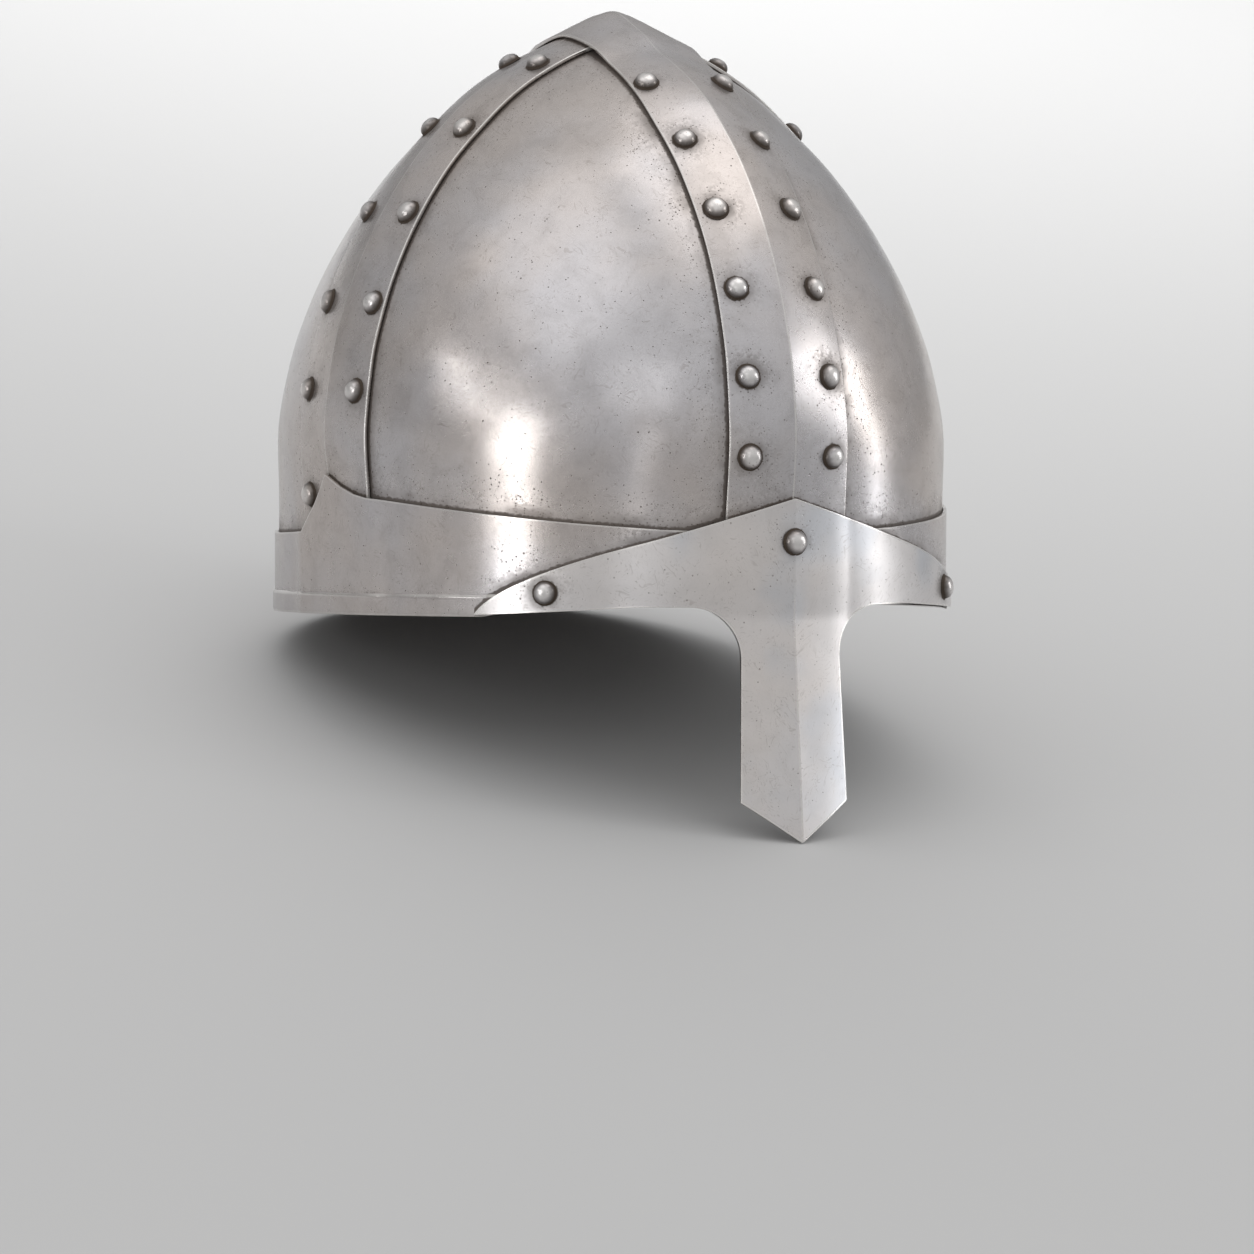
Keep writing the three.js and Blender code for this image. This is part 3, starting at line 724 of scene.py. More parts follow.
def make_scratch_group():
    """Short hairline scratches that curve over the sheet in many directions, in patches."""
    inputs = [("Sheet", "V"), ("Amount", "F")]
    tree, given, result = new_group("Hairlines", inputs, [("Mask", "F")])
    sheet = given["Sheet"]
    drift = add_node(tree, "ShaderNodeTexNoise", {"Vector": sheet, "Scale": 90.0})
    centred = vector_maths(tree, "SUBTRACT", drift.outputs["Color"], (0.5, 0.5, 0.5))
    bend = add_node(tree, "ShaderNodeVectorMath", {0: centred, "Scale": 0.012}, operation="SCALE")
    bent = vector_maths(tree, "ADD", sheet, bend.outputs[0])
    total = None
    for turn, scale, length in SCRATCHES:
        inputs = {"Vector": bent, "Rotation": (0, 0, turn), "Scale": (1, length, 1)}
        turned = add_node(tree, "ShaderNodeMapping", inputs, vector_type="TEXTURE").outputs[0]
        line = ramp(tree, noise(tree, turned, scale, 0.0), 0.69, 0.76)
        patch = ramp(tree, noise(tree, sheet, 50.0 + 31 * turn, 2.0), 0.46, 0.62)
        total = either(tree, total, times(tree, line, patch))
    tree.links.new(times(tree, total, given["Amount"]), result["Mask"])


def make_pit_group():
    """Small dark pits and specks of two sizes, thicker where Near is high."""
    inputs = [("Place", "V"), ("Near", "F"), ("Amount", "F")]
    tree, given, result = new_group("Pits", inputs, [("Mask", "F")])
    total = None
    for scale, least, crowd, size in PITS:
        inputs = {"Vector": given["Place"], "Scale": scale, "Randomness": 1.0}
        cells = add_node(tree, "ShaderNodeTexVoronoi", inputs, feature="F1")
        colour = {"Color": cells.outputs["Color"]}
        pick = add_node(tree, "ShaderNodeSeparateColor", colour).outputs
        need = maths(tree, "SUBTRACT", least, times(tree, given["Near"], crowd))
        chosen = maths(tree, "GREATER_THAN", pick["Red"], need)
        radius = times(tree, maths(tree, "ADD", pick["Green"], 0.35), size)
        inner = maths(tree, "DIVIDE", cells.outputs["Distance"], radius)
        dot = ramp(tree, inner, 0.45, 1.0, 1.0, 0.0)
        depth = ramp(tree, pick["Blue"], 0.0, 0.8, 0.35, 1.0)
        total = either(tree, total, times(tree, times(tree, dot, depth), chosen))
    tree.links.new(times(tree, total, given["Amount"]), result["Mask"])


def make_dirt_and_shade_group():
    """Dirt and painted shade that gather in a line along a crevice, dirt that smears out from it,
    and a soft painted shade beside it.
    """
    inputs = [("Place", "V"), ("Gap", "F"), ("Line", "F"), ("Smear", "F")]
    tree, given, result = new_group("Crevice dirt and painted shade", inputs, [("Mask", "F")])
    place, width = given["Place"], given["Line"]
    ragged = noise(tree, place, 800.0, 4.0, 0.65, 0.4)
    wander = times(tree, maths(tree, "SUBTRACT", ragged, 0.5), 1.6)
    gap = maths(tree, "ADD", given["Gap"], wander)
    line = ramp(tree, maths(tree, "DIVIDE", gap, width), 0.35, 1.0, 1.0, 0.0)
    patches = ramp(tree, noise(tree, place, 70.0, 3.0, 0.6), 0.38, 0.64)
    reach = ramp(tree, maths(tree, "DIVIDE", gap, given["Smear"]), 0.0, 1.0, 0.6, 0.0)
    smear = times(tree, times(tree, reach, patches), ramp(tree, ragged, 0.4, 0.62))
    # Painted shade: a soft darkening close to the crevice, where shade falls between the sheets.
    near = ramp(tree, maths(tree, "DIVIDE", given["Gap"], width), 0.6, 3.2, 0.45, 0.0)
    shade = maths(tree, "MULTIPLY", near, maths(tree, "ADD", patches, 0.35), clamp=True)
    tree.links.new(either(tree, line, either(tree, smear, shade)), result["Mask"])


def make_rubbed_edge_and_highlight_group():
    """Bright metal rubbed along a sheet's free edge, broken up by the wear; along ridges and the
    hem's fold the same bright line is a painted highlight.
    """
    inputs = [("Place", "V"), ("Gap", "F"), ("Width", "F")]
    tree, given, result = new_group("Rubbed edge and painted highlight", inputs, [("Mask", "F")])
    broken = ramp(tree, noise(tree, given["Place"], 160.0, 2.0), 0.3, 0.6, 0.5, 1.0)
    near = ramp(tree, maths(tree, "DIVIDE", given["Gap"], given["Width"]), 0.5, 1.0, 1.0, 0.0)
    tree.links.new(times(tree, near, broken), result["Mask"])


def make_relief_group():
    """A normal for beaten, scratched and pitted sheet metal."""
    inputs = [("Place", "V"), ("Scratches", "F"), ("Pits", "F"), ("Waviness", "F")]
    tree, given, result = new_group("Beaten relief", inputs, [("Normal", "V")])
    place = given["Place"]
    dents = times(tree, noise(tree, place, 75.0, 2.0, 0.5), 0.07)
    slow = maths(tree, "ADD", noise(tree, place, 24.0, 2.0, 0.45), dents)
    inputs = {"Strength": given["Waviness"], "Distance": 0.0011, "Height": slow}
    soft = add_node(tree, "ShaderNodeBump", inputs).outputs[0]
    fine = times(tree, noise(tree, place, 2600.0, 3.0, 0.6), 0.1)
    fine = maths(tree, "SUBTRACT", fine, times(tree, given["Scratches"], 0.08))
    fine = maths(tree, "SUBTRACT", fine, given["Pits"])
    inputs = {"Strength": 0.45, "Distance": 0.00012, "Height": fine, "Normal": soft}
    sharp = add_node(tree, "ShaderNodeBump", inputs).outputs[0]
    tree.links.new(sharp, result["Normal"])


def build_groups():
    if "Steel tone" in bpy.data.node_groups:
        return
    for make in (
        make_tone_group,
        make_scratch_group,
        make_pit_group,
        make_dirt_and_shade_group,
        make_rubbed_edge_and_highlight_group,
        make_relief_group,
    ):
        make()


def start_material(name, mottle):
    """An empty material, the place on the piece that its effects use, and the steel's tone."""
    build_groups()
    finish = bpy.context.scene.helmet_finish
    material = bpy.data.materials.new(name)
    material.use_nodes = True
    tree = material.node_tree
    tree.nodes.clear()
    place = add_node(tree, "ShaderNodeTexCoord").outputs["Object"]
    warm, cool = (*finish.warm_steel, 1), (*finish.cool_steel, 1)
    tone = use_group(tree, "Steel tone", Place=place, Warm=warm, Cool=cool, Mottle=mottle)
    return material, place, tone


def end_material(tree, colour, rough, metal, relief):
    inputs = {"Base Color": colour, "Roughness": rough, "Metallic": metal, "Normal": relief}
    shader = add_node(tree, "ShaderNodeBsdfPrincipled", inputs)
    out = add_node(tree, "ShaderNodeOutputMaterial")
    tree.links.new(shader.outputs[0], out.inputs[0])


def steel(name):
    """Worn satin steel, with this steel's own amounts of each effect."""
    if name in bpy.data.materials:
        return bpy.data.materials[name]
    amount = dict(zip(STEEL_COLUMNS, STEELS[name]))
    finish = bpy.context.scene.helmet_finish
    dirt_and_shade_tone = (*finish.grime, 1)
    material, place, tone = start_material(name, amount["mottle"])
    tree = material.node_tree
    sheet = add_node(tree, "ShaderNodeUVMap", uv_map="sheet").outputs[0]
    cover, edge, rivet = (
        add_node(tree, "ShaderNodeAttribute", attribute_name=label).outputs["Fac"]
        for label in ("cover_gap", "edge_gap", "rivet_gap")
    )
    if amount["lift"]:
        tone = blend(tree, amount["lift"], tone, CLEAN_STEEL)
        patch = ramp(tree, noise(tree, place, 33.0, 2.0), 0.5, 0.68, 0.0, BLUE_PATCHES)
        tone = blend(tree, patch, tone, BLUE_STEEL)
    near = either(tree, ramp(tree, cover, 2, 16, 1, 0), ramp(tree, rivet, 4, 13, 1, 0))
    pits = use_group(tree, "Pits", Place=place, Near=near, Amount=amount["pits"])
    lines = use_group(tree, "Hairlines", Sheet=sheet, Amount=amount["scratches"])
    # Dirt and painted shade along the seams where one sheet covers another.
    seam = use_group(tree, "Crevice dirt and painted shade", Place=place, Gap=cover, Line=amount["line"], Smear=9.0)
    past_head = maths(tree, "SUBTRACT", rivet, 3.6)
    # Dirt and painted contact shadow in a ring round each rivet head.
    ring = use_group(tree, "Crevice dirt and painted shade", Place=place, Gap=past_head, Line=1.15, Smear=8.0)
    grime = times(tree, either(tree, seam, ring), amount["grime"])
    # This mask holds the rubbed free edges and the painted highlights along ridges and the hem's
    # fold.
    worn = use_group(tree, "Rubbed edge and painted highlight", Place=place, Gap=edge, Width=amount["edge"])
    colour = blend(tree, times(tree, lines, 0.3), tone, SCRATCH)
    # The seams and rings darken the colour with dirt and painted shade.
    colour = blend(tree, grime, colour, dirt_and_shade_tone)
    colour = blend(tree, times(tree, pits, 0.85), colour, dirt_and_shade_tone)
    colour = blend(tree, times(tree, worn, 0.55), colour, RUBBED_STEEL_AND_HIGHLIGHT)
    satin = ramp(tree, noise(tree, place, 130.0, 5.0, 0.6), 0.3, 0.7, -0.03, 0.035, "LINEAR")
    rough = maths(tree, "ADD", satin, finish.roughness + amount["roughness"])
    rough = maths(tree, "ADD", rough, times(tree, grime, 0.35))
    rough = maths(tree, "ADD", rough, times(tree, pits, 0.3))
    rough = maths(tree, "SUBTRACT", rough, times(tree, worn, 0.08), clamp=True)
    bare = either(tree, grime, times(tree, pits, 0.8))
    metal = maths(tree, "SUBTRACT", 1.0, times(tree, bare, 0.75), clamp=True)
    relief = use_group(
        tree, "Beaten relief", Place=place, Scratches=lines, Pits=pits, Waviness=amount["waviness"]
    )
    end_material(tree, colour, rough, metal, relief)
    return material


def rivet_steel():
    """Domed heads: a painted highlight on top, painted shade down the sides, and dirt with painted
    contact shadow where they meet the sheet.
    """
    name = "rivet steel"
    if name in bpy.data.materials:
        return bpy.data.materials[name]
    finish = bpy.context.scene.helmet_finish
    dirt_and_shade_tone = (*finish.grime, 1)
    material, place, tone = start_material(name, 0.3)
    tree = material.node_tree
    dome = add_node(tree, "ShaderNodeAttribute", attribute_name="dome").outputs["Fac"]
    ragged = maths(tree, "SUBTRACT", noise(tree, place, 600.0, 3.0), 0.5)
    low = maths(tree, "ADD", dome, times(tree, ragged, 0.3))
    # Dirt and painted contact shadow where the head meets the sheet.
    grime = ramp(tree, low, 0.1, 0.42, 1.0, 0.0)
    pits = use_group(tree, "Pits", Place=place, Near=0.3, Amount=0.7)
    # A painted highlight on the dome's top, then painted shade down its sides.
    colour = blend(tree, ramp(tree, low, 0.6, 1.0, 0.0, 0.6), tone, DOME_PAINTED_HIGHLIGHT)
    colour = blend(tree, ramp(tree, low, 0.35, 0.93, 0.88, 0.0), colour, DOME_PAINTED_SHADE)
    colour = blend(tree, times(tree, grime, 0.95), colour, dirt_and_shade_tone)
    colour = blend(tree, times(tree, pits, 0.7), colour, dirt_and_shade_tone)
    rough = maths(tree, "ADD", finish.roughness + 0.03, times(tree, grime, 0.4))
    metal = maths(tree, "SUBTRACT", 1.0, times(tree, grime, 0.7))
    relief = use_group(tree, "Beaten relief", Place=place, Pits=pits)
    end_material(tree, colour, rough, metal, relief)
    return material


# What a user would change: the sheets' sizes, and the steel's colours and shine.
class HelmetSizes(bpy.types.PropertyGroup):
    """Sizes of the finished sheets and rivets."""

    edge_rounding: FloatProperty(
        name="Edge rounding", description="How far each sheet's cut edges are rounded off",
        default=0.00032, min=0.00005, max=0.0005, precision=5, unit="LENGTH"
    )
    rivet_head: FloatProperty(
        name="Rivet head", description="Radius of a rivet's domed head", default=0.0035,
        min=0.002, max=0.005, precision=4, unit="LENGTH"
    )
    rivet_rise: FloatProperty(
        name="Rivet rise", description="Height of a rivet's dome over the sheet under it",
        default=0.0026, min=0.001, max=0.004, precision=4, unit="LENGTH"
    )


class HelmetFinish(bpy.types.PropertyGroup):
    """Colours and shine of the worn steel."""

    warm_steel: FloatVectorProperty(
        name="Warm steel", description="Colour of the steel where it has dulled towards brown",
        default=(0.6, 0.548, 0.52), min=0, max=1, subtype="COLOR"
    )
    cool_steel: FloatVectorProperty(
        name="Cool steel", description="Colour of the steel where it is cleaner",
        default=(0.57, 0.555, 0.57), min=0, max=1, subtype="COLOR"
    )
    # The colour of the dirt and of the painted shade in the seams and round the rivets, and of the
    # pits.
    grime: FloatVectorProperty(
        name="Grime", description="Colour of the dirt in the seams and round the rivets",
        default=(0.05, 0.033, 0.021), min=0, max=1, subtype="COLOR"
    )
    roughness: FloatProperty(
        name="Roughness", description="How dull the satin steel is", default=0.25, min=0.05,
        max=0.9, subtype="FACTOR"
    )


class HELMET_OT_skull_plates(bpy.types.Operator):
    """Make the four skull plates"""

    bl_idname = "helmet.skull_plates"
    bl_label = "Skull plates"

    def execute(self, context):
        for left in (-1, 1):
            for front in (True, False):
                self.make_plate(left, front)
        return {"FINISHED"}

    def make_plate(self, left, front):
        name = f"{'front' if front else 'rear'}_{'right' if left < 0 else 'left'}"
        heights = even_heights(0, PLATE_TOP, 3.2)
        share, power = share_at(heights), plan_power(heights)
        half = SEAM / 2

        def ending(mine, other):
            return other * (share**power - (half / mine) ** power) ** (1 / power)

        at_front = np.arctan2(half, ending(HALF_WIDTH, HALF_LENGTH))
        at_side = np.arctan2(ending(HALF_LENGTH, HALF_WIDTH), half)
        part = np.linspace(0, 1, 49)
        turn = at_front[:, None] + part * (at_side - at_front)[:, None]
        angle = (turn if front else math.pi - turn) * left
        low = rim_at(np.degrees(angle[0])) + PLATE_LIFT
        lower = np.clip(1 - heights / 40, 0, 1)[:, None]
        up = heights[:, None] + lower * (low - heights[0])
        base = skull_points(angle, up)
        marks = {
            "cover_gap": np.minimum(
                np.minimum(gap_to_fore_band(base), gap_to_side_band(base)), gap_to_brow(base)
            ),
            "rivet_gap": nearest(base, [s["seat"] for s in SEATS]),
            "edge_gap": np.full(base.shape[:-1], 50.0),
        }
        piece = lay_grid(f"skull_plate_{name}", lifted(base, np.full(up.shape, -PLATE)), marks)
        finish_sheet(piece, PLATE, steel("plate steel"), "skull_plate", f"plate_{name}")


def band_grid(name, band, sides, heights, seats, covers):
    """A ridged band's sheet: stations down its line, and finer stops near its ridge and edges."""
    stops = np.array([0, 0.02, 0.045, 0.1, 0.2, 0.32, 0.44, 0.56, 0.67, 0.78, 0.87, 0.93, 0.97, 1])
    stops = np.concatenate([-stops[:0:-1], stops])
    half = band.half_width(heights)[:, None]
    distance = stops * half
    height = np.repeat(heights[:, None], len(stops), 1)
    side = np.repeat(np.asarray(sides, float)[:, None], len(stops), 1)
    points = band.points(side, height, distance)
    marks = {
        "cover_gap": covers(points),
        "rivet_gap": nearest(points, seats),
        # Beside the edges, a gap from the ridge line paints a highlight along the ridge.
        "edge_gap": np.minimum(half - np.abs(distance), np.abs(distance) * 1.2 + 0.3),
    }
    return lay_grid(name, points, marks)


class HELMET_OT_fore_aft_band(bpy.types.Operator):
    """Make the ridged band that runs from the brow over the tip to the back"""

    bl_idname = "helmet.fore_aft_band"
    bl_label = "Fore-and-aft band"

    def execute(self, context):
        rise = even_heights(BAND_BOTTOM, TIP, 2.6)
        heights = np.concatenate([rise, rise[-2::-1]])
        sides = np.where(np.arange(len(heights)) < len(rise), -1, 1)
        seats = seats_of("rivet_front", "rivet_back", "rivet_nasal_centre")
        piece = band_grid("ridge_band_fore_aft", FORE_AFT, sides, heights, seats, gap_to_brow)
        finish_sheet(piece, BAND, steel("band steel"), "band", "band_fore_aft")
        return {"FINISHED"}


class HELMET_OT_side_bands(bpy.types.Operator):
    """Make the two ridged side bands, whose tops tuck under the fore-and-aft band"""

    bl_idname = "helmet.side_bands"
    bl_label = "Side bands"

    def execute(self, context):
        fine = np.arange(PLATE_TOP, TIP, 0.1)
        end = fine[np.argmax(share_at(fine) * HALF_WIDTH <= SIDE_END)]
        heights = even_heights(BAND_BOTTOM, end, 2.6)
        for side, hand in ((-1, "right"), (1, "left")):

            def covers(points):
                return np.minimum(gap_to_brow(points), gap_to_fore_band(points))

            piece = band_grid(
                f"ridge_band_side_{hand}",
                SIDEWAYS,
                np.full(len(heights), side),
                heights,
                seats_of(f"rivet_side_{hand}"),
                covers,
            )
            finish_sheet(piece, BAND, steel("band steel"), "band", f"band_side_{hand}")
        return {"FINISHED"}


class HELMET_OT_brow_band(bpy.types.Operator):
    """Make the hoop round the rim, with its side peaks and its folded hem"""

    bl_idname = "helmet.brow_band"
    bl_label = "Brow band"

    def execute(self, context):
        corners = np.array([50, 52, 76.2, 80, 84.5, 89, 92, 95, 98, 101.5])
        turns = np.unique(np.round(np.concatenate([np.arange(0, 181, 1.5), corners]), 3))
        turns = turns[turns < 179.9]
        turns = np.concatenate([-turns[:0:-1], turns, [360 - turns[-1]]])
        rim = rim_at(turns)
        hem = 1 - step_down(from_front(turns), HEM_BEGINS, HEM_FULL_FROM - HEM_BEGINS)
        low = rim + PLATE_LIFT * step_down(from_front(turns), HEM_EASE_FROM, HEM_EASE_RUN)
        fold = np.maximum(np.minimum(rim, 0) + HEM_HEIGHT, low + 3)
        top = brow_top(turns)
        rows, proud = [], []
        for part, rounding in ((0, 0.55), (0.06, 0.8), (0.14, 0.95), (0.3, 1), (0.6, 1), (0.8, 1)):
            rows.append(low + part * (fold - low))
            proud.append(rounding)
        for step, rounding in ((-0.5, 0.97), (-0.2, 0.8), (0.0, 0.5), (0.12, 0.18), (0.3, 0)):
            rows.append(fold + step)
            proud.append(rounding)
        for part in (0.03, 0.1, 0.2, 0.32, 0.46, 0.6, 0.74, 0.86, 0.94, 0.975, 1):
            rows.append(fold + 0.3 + part * (top - fold - 0.3))
            proud.append(0)
        height = np.stack(rows)
        angle = np.radians(np.broadcast_to(turns, height.shape))
        base = skull_points(angle, height)
        rise = GAP + relief_under_brow(base) + HEM_PROUD * hem * np.array(proud)[:, None]
        points = lifted(base, rise)
        points[..., 2] = height
        over_shield = np.where(
            (points[..., 1] < 0) & (np.abs(points[..., 0]) < SHIELD_END[0]),
            points[..., 2] - shield_top(points[..., 0]),
            40.0,
        )
        # Painted shade: a thin dark line just above the hem's fold.
        over_hem = np.where((hem > 0) & (height > fold), (height - fold) * 4 - 0.2, 40.0)
        # Painted highlight: a thin bright line along the hem's fold.
        fold_highlight_gap = np.where(hem > 0, np.abs(height - fold + 0.2) + 0.2, 40.0)
        marks = {
            "cover_gap": np.minimum(over_shield, over_hem),
            "rivet_gap": nearest(points, seats_of("rivet_nasal_right", "rivet_nasal_left")),
            "edge_gap": np.minimum(np.minimum(top - height, height - low), fold_highlight_gap),
        }
        piece = lay_grid("brow_hoop", points, marks)
        finish_sheet(piece, BROW, steel("brow steel"), "brow", "brow_band")
        return {"FINISHED"}


class HELMET_OT_nose_shield(bpy.types.Operator):
    """Make the brow shield with its two wings and the ridged nose guard"""

    bl_idname = "helmet.nose_shield"
    bl_label = "Nose shield"

    def execute(self, context):
        bar = np.array([0, 0.3, 0.8, 1.6, 3, 5, 7.5, 10, 12.5, 14.5, 15.6, 16.2, GUARD_HALF_WIDTH])
        sweep = np.radians(np.arange(9, 91, 9))
        fillet = GUARD_HALF_WIDTH + GUARD_FILLET * (1 - np.cos(sweep))
        wing = np.array([34.5, 37.4, 40.5])
        tip = SHIELD_TOP[1:, 0][::3]
        tip = np.concatenate([tip, [SHIELD_END[0] - 0.25, SHIELD_END[0]]])
        half = np.unique(np.round(np.concatenate([bar, fillet, wing, tip]), 4))
        x = np.concatenate([-half[:0:-1], half])
        in_bar = np.abs(x) <= GUARD_HALF_WIDTH + 1e-6
        neck = EYE_ARCH[1] - GUARD_FILLET
        share = np.clip(np.abs(x) / GUARD_HALF_WIDTH, 0, 1)
        point = GUARD_TIP + share * (GUARD_FOOT - GUARD_TIP)
        down = np.array([0, 0.008, 0.02, *np.linspace(0.05, 1, 30)[:-1]])[:, None]
        low_z = point + down * (neck - point)
        spread = np.clip((neck - low_z) / (neck - GUARD_FOOT), 0, 1)
        widen = 1 + spread * (GUARD_FOOT_HALF_WIDTH / GUARD_HALF_WIDTH - 1)
        low_x = np.where(in_bar, x * widen, x)
        foot, top = shield_bottom(x), shield_top(x)
        foot = np.where(in_bar, neck, foot)
        up = np.array([0, 0.01, 0.03, *np.linspace(0.07, 0.93, 28), 0.97, 0.99, 1])[:, None]
        high_z = foot + up * np.maximum(top - foot, 0)
        z = np.concatenate([low_z, high_z])
        xs = np.concatenate([low_x, np.broadcast_to(x, high_z.shape)])
        points = shield_points(xs, z)
        kept = np.ones(z.shape, bool)
        kept[: len(low_z)] = in_bar
        # A painted highlight along the guard's ridge.
        ridge_highlight_gap = np.abs(xs) * 1.2 + 0.3 + np.clip(z - 5, 0, 20) / 10
        edge = np.minimum(self.edge_gap(xs, z), ridge_highlight_gap)
        marks = {
            "cover_gap": np.full(z.shape, 40.0),
            "rivet_gap": nearest(points, seats_of("rivet_nasal")),
            "edge_gap": edge,
        }
        piece = lay_grid("nose_shield", points, marks, kept)
        finish_sheet(piece, SHIELD, steel("shield steel"), "nasal", "nasal_plate")
        return {"FINISHED"}

    def edge_gap(self, x, z):
        """Distance from points to the shield's outline, seen from the front."""
        bottom_x = np.linspace(GUARD_HALF_WIDTH, SHIELD_END[0], 120)
        neck = (GUARD_HALF_WIDTH, EYE_ARCH[1] - GUARD_FILLET)
        lines = [
            np.array([(0, GUARD_TIP), (GUARD_FOOT_HALF_WIDTH, GUARD_FOOT), neck]),
            np.stack([bottom_x, shield_bottom(bottom_x)], -1),
            SHIELD_TOP,
        ]
        spots = np.stack([np.abs(x), z], -1)
        gap = np.full(x.shape, 1e3)
        for line in lines:
            for start, end in zip(line[:-1], line[1:]):
                run = end - start
                part = np.clip(((spots - start) @ run) / max(run @ run, 1e-9), 0, 1)
                away = np.linalg.norm(spots - start - part[..., None] * run, axis=-1)
                gap = np.minimum(gap, away)
        return gap


class HELMET_OT_rivets(bpy.types.Operator):
    """Make one domed rivet and set a copy of it in every hole"""

    bl_idname = "helmet.rivets"
    bl_label = "Rivets"

    def execute(self, context):
        master = self.make_master(context.scene.helmet_sizes)
        material = rivet_steel()
        for index, seat in enumerate(SEATS):
            piece = bpy.data.objects.new(f"domed_{seat['name']}", master.data.copy())
            context.scene.collection.objects.link(piece)
            piece.data.transform(self.placing(index, seat))
            put_in_place(piece, material, "rivet", seat["name"])
        bpy.data.objects.remove(master)
        return {"FINISHED"}

    def placing(self, index, seat):
        """Turns, tilts and stretches each copy a little, as hand-set rivets are, and seats it."""
        axis = UPRIGHT_TO_ROW.to_3x3() @ Vector(seat["axis"])
        place = UPRIGHT_TO_ROW @ Vector(seat["seat"])
        spin = Matrix.Rotation(index * 2.399, 4, "Z")
        tilt = Matrix.Rotation(math.radians(2.2) * math.sin(index * 1.7), 4, "X")
        width = 1 + 0.05 * math.sin(index * 2.9)
        stretch = Matrix.Diagonal((width, 1 + 0.05 * math.cos(index * 4.1), 1, 1))
        upright = axis.to_track_quat("Z", "Y").to_matrix().to_4x4()
        return Matrix.Translation(place * MM) @ upright @ tilt @ spin @ stretch

    def make_master(self, sizes):
        head, rise = sizes.rivet_head, sizes.rivet_rise
        seat = RIVET_SEAT * MM
        clear_selection()
        bpy.ops.mesh.primitive_circle_add(vertices=28, radius=1.5 * MM, fill_type="NOTHING")
        master = bpy.context.object
        master.name = "rivet_master"
        master.data.transform(Matrix.Translation((0, 0, -5.2 * MM)))
        bpy.ops.object.mode_set(mode="EDIT")
        bpy.ops.mesh.select_all(action="SELECT")
        here = (1.5 * MM, -5.2 * MM)
        rings = [(1.5 * MM, 0.02 * MM), (head * 1.13, 0.03 * MM), (head * 1.04, 0.16 * MM)]
        rings += [(head, seat + 0.05 * MM)]
        for step in range(1, 9):
            turn = math.radians(step * 10.5)
            rings.append((head * math.cos(turn) ** 0.9, seat + rise * math.sin(turn)))
        for radius, height in rings:
            bpy.ops.mesh.extrude_region_move(
                TRANSFORM_OT_translate={"value": (0, 0, height - here[1])}
            )
            grow = radius / here[0]
            bpy.ops.transform.resize(value=(grow, grow, 1), center_override=(0, 0, height))
            here = (radius, height)
        bpy.ops.mesh.edge_face_add()
        bpy.ops.mesh.poke()
        bpy.ops.mesh.select_all(action="SELECT")
        bpy.ops.mesh.normals_make_consistent(inside=False)
        bpy.ops.object.mode_set(mode="OBJECT")
        mesh = master.data
        layer = mesh.uv_layers.new(name="sheet")
        spots = read_all(mesh.vertices, "co", 3)
        loops = read_all(mesh.loops, "vertex_index", kind=int)
        layer.data.foreach_set("uv", spots[loops][:, :2].ravel())
        dome = mesh.attributes.new("dome", "FLOAT", "POINT")
        dome.data.foreach_set("value", np.clip((spots[:, 2] - seat) / rise, 0, 1))
        clear_selection()
        master.select_set(True)
        bpy.context.view_layer.objects.active = master
        bpy.ops.object.shade_smooth_by_angle(angle=math.radians(50))
        return master


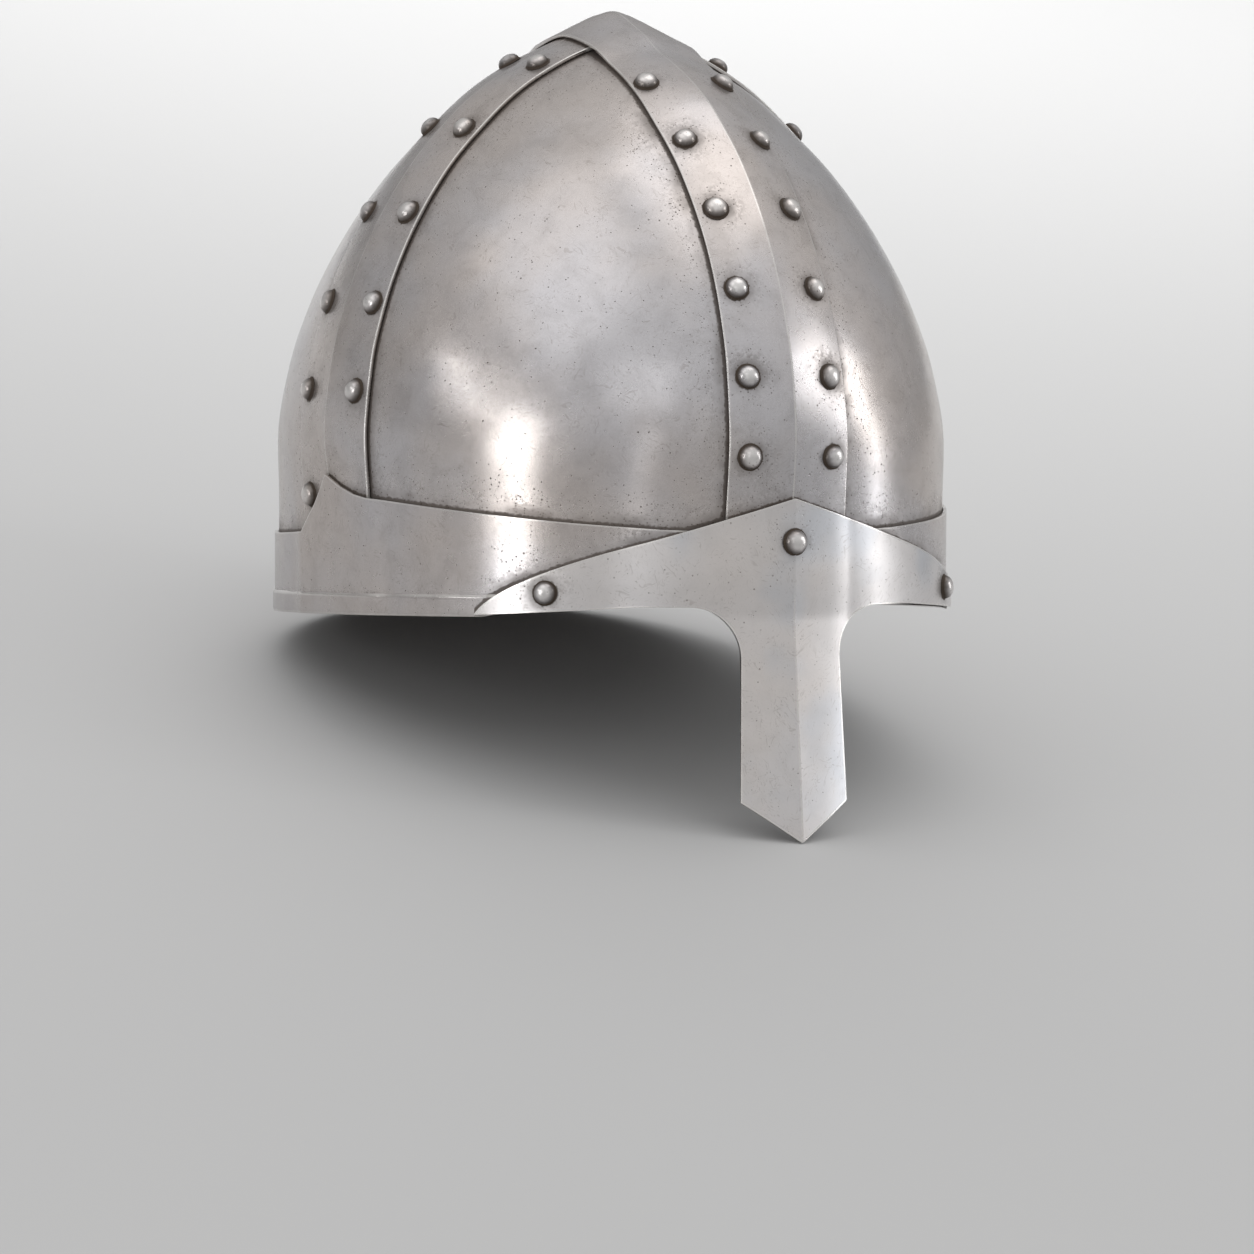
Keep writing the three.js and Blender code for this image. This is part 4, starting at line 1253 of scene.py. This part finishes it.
class HELMET_OT_stage(bpy.types.Operator):
    """Set the pale floor, the soft studio lights and the camera"""

    bl_idname = "helmet.stage"
    bl_label = "Stage"

    def execute(self, context):
        self.make_floor()
        self.make_world(context.scene)
        self.make_lights()
        self.make_camera(context.scene)
        return {"FINISHED"}

    def make_floor(self):
        clear_selection()
        bpy.ops.mesh.primitive_grid_add(x_subdivisions=8, y_subdivisions=8, size=9)
        floor = bpy.context.object
        floor.name = "floor"
        paint = bpy.data.materials.new("pale floor")
        paint.use_nodes = True
        shader = paint.node_tree.nodes["Principled BSDF"]
        shader.inputs["Base Color"].default_value = (0.54, 0.54, 0.54, 1)
        shader.inputs["Roughness"].default_value = 0.7
        floor.data.materials.append(paint)

    def make_world(self, scene):
        """A plain grey room, brighter towards the ceiling and darker towards the back."""
        world = bpy.data.worlds.new("studio")
        scene.world = world
        world.use_nodes = True
        tree = world.node_tree
        way = add_node(tree, "ShaderNodeTexCoord").outputs["Generated"]
        part = add_node(tree, "ShaderNodeSeparateXYZ", {"Vector": way}).outputs
        glow = ramp(tree, part["Z"], 0, 1, 0.44, 0.84, "LINEAR")
        glow = maths(tree, "MULTIPLY", glow, ramp(tree, part["Y"], 0, 1, 1, 0.8, "LINEAR"))
        tree.links.new(glow, tree.nodes["Background"].inputs["Strength"])
        tree.nodes["Background"].inputs["Color"].default_value = (1, 1, 1, 1)
        scene.view_settings.view_transform = "Standard"

    def add_lamp(self, name, place, size, glow, tone=(1, 1, 1)):
        """A soft panel that faces down until it is turned. glow is how bright its face is."""
        lamp = bpy.data.lights.new(name, "AREA")
        lamp.shape = "RECTANGLE"
        lamp.size, lamp.size_y = size
        lamp.energy = glow * math.pi * size[0] * size[1]
        lamp.color = tone
        stand = bpy.data.objects.new(name, lamp)
        bpy.context.scene.collection.objects.link(stand)
        stand.location = place
        return stand

    def make_lights(self):
        """Soft panels round the helmet, and one that brightens the floor behind it."""
        for name, turn, rise, away, size, glow, tone in LAMPS:
            turn, rise = math.radians(turn), math.radians(rise)
            level, height = away * math.cos(rise), away * math.sin(rise)
            reach = Vector((level * math.sin(turn), -level * math.cos(turn), height))
            stand = self.add_lamp(name, Vector(LAMP_AIM) + reach, size, glow, tone)
            stand.rotation_euler = (-reach).to_track_quat("-Z", "Y").to_euler()
        panel = self.add_lamp("floor panel", FLOOR_PANEL, FLOOR_PANEL_SIZE, FLOOR_PANEL_GLOW)
        panel.visible_camera = False
        panel.visible_glossy = False

    def make_camera(self, scene):
        turn, rise, roll = CAMERA_TURN, CAMERA_RISE, CAMERA_ROLL
        away = Vector(
            (-math.sin(turn) * math.cos(rise), -math.cos(turn) * math.cos(rise), math.sin(rise))
        )
        level = Vector((math.cos(turn), -math.sin(turn), 0))
        above = level.cross(-away)
        right = level * math.cos(roll) + above * math.sin(roll)
        up = above * math.cos(roll) - level * math.sin(roll)
        aim = right * CAMERA_SLIDE[0] + up * CAMERA_SLIDE[1] + Vector((0, 0, CAMERA_AIM_HEIGHT))
        place = UPRIGHT_TO_ROW @ (aim + away * CAMERA_DISTANCE) * MM
        turned = UPRIGHT_TO_ROW.to_3x3()
        axes = Matrix([turned @ right, turned @ up, turned @ away]).transposed()
        camera = bpy.data.cameras.new("camera")
        camera.lens = CAMERA_LENS
        camera.sensor_width = 36
        stand = bpy.data.objects.new("camera", camera)
        scene.collection.objects.link(stand)
        stand.matrix_world = Matrix.Translation(place) @ axes.to_4x4()
        scene.camera = stand


class HELMET_PT_panel(bpy.types.Panel):
    """Lists the helmet's pieces and settings"""

    bl_idname = "HELMET_PT_panel"
    bl_label = "Nasal helmet"
    bl_space_type = "VIEW_3D"
    bl_region_type = "UI"
    bl_category = "Helmet"

    def draw(self, context):
        for group in (context.scene.helmet_sizes, context.scene.helmet_finish):
            for key in group.__annotations__:
                self.layout.prop(group, key)
        for maker in MAKERS:
            self.layout.operator(maker.bl_idname)


MAKERS = (
    HELMET_OT_skull_plates,
    HELMET_OT_fore_aft_band,
    HELMET_OT_side_bands,
    HELMET_OT_brow_band,
    HELMET_OT_nose_shield,
    HELMET_OT_rivets,
    HELMET_OT_stage,
)
CLASSES = (HelmetSizes, HelmetFinish, *MAKERS, HELMET_PT_panel)


def register():
    for item in CLASSES:
        bpy.utils.register_class(item)
    bpy.types.Scene.helmet_sizes = PointerProperty(type=HelmetSizes)
    bpy.types.Scene.helmet_finish = PointerProperty(type=HelmetFinish)


def unregister():
    del bpy.types.Scene.helmet_finish
    del bpy.types.Scene.helmet_sizes
    for item in reversed(CLASSES):
        bpy.utils.unregister_class(item)


def main():
    register()
    bpy.ops.helmet.skull_plates()
    bpy.ops.helmet.fore_aft_band()
    bpy.ops.helmet.side_bands()
    bpy.ops.helmet.brow_band()
    bpy.ops.helmet.nose_shield()
    bpy.ops.helmet.rivets()
    bpy.ops.helmet.stage()
    bpy.context.view_layer.update()


if __name__ == "__main__":
    main()
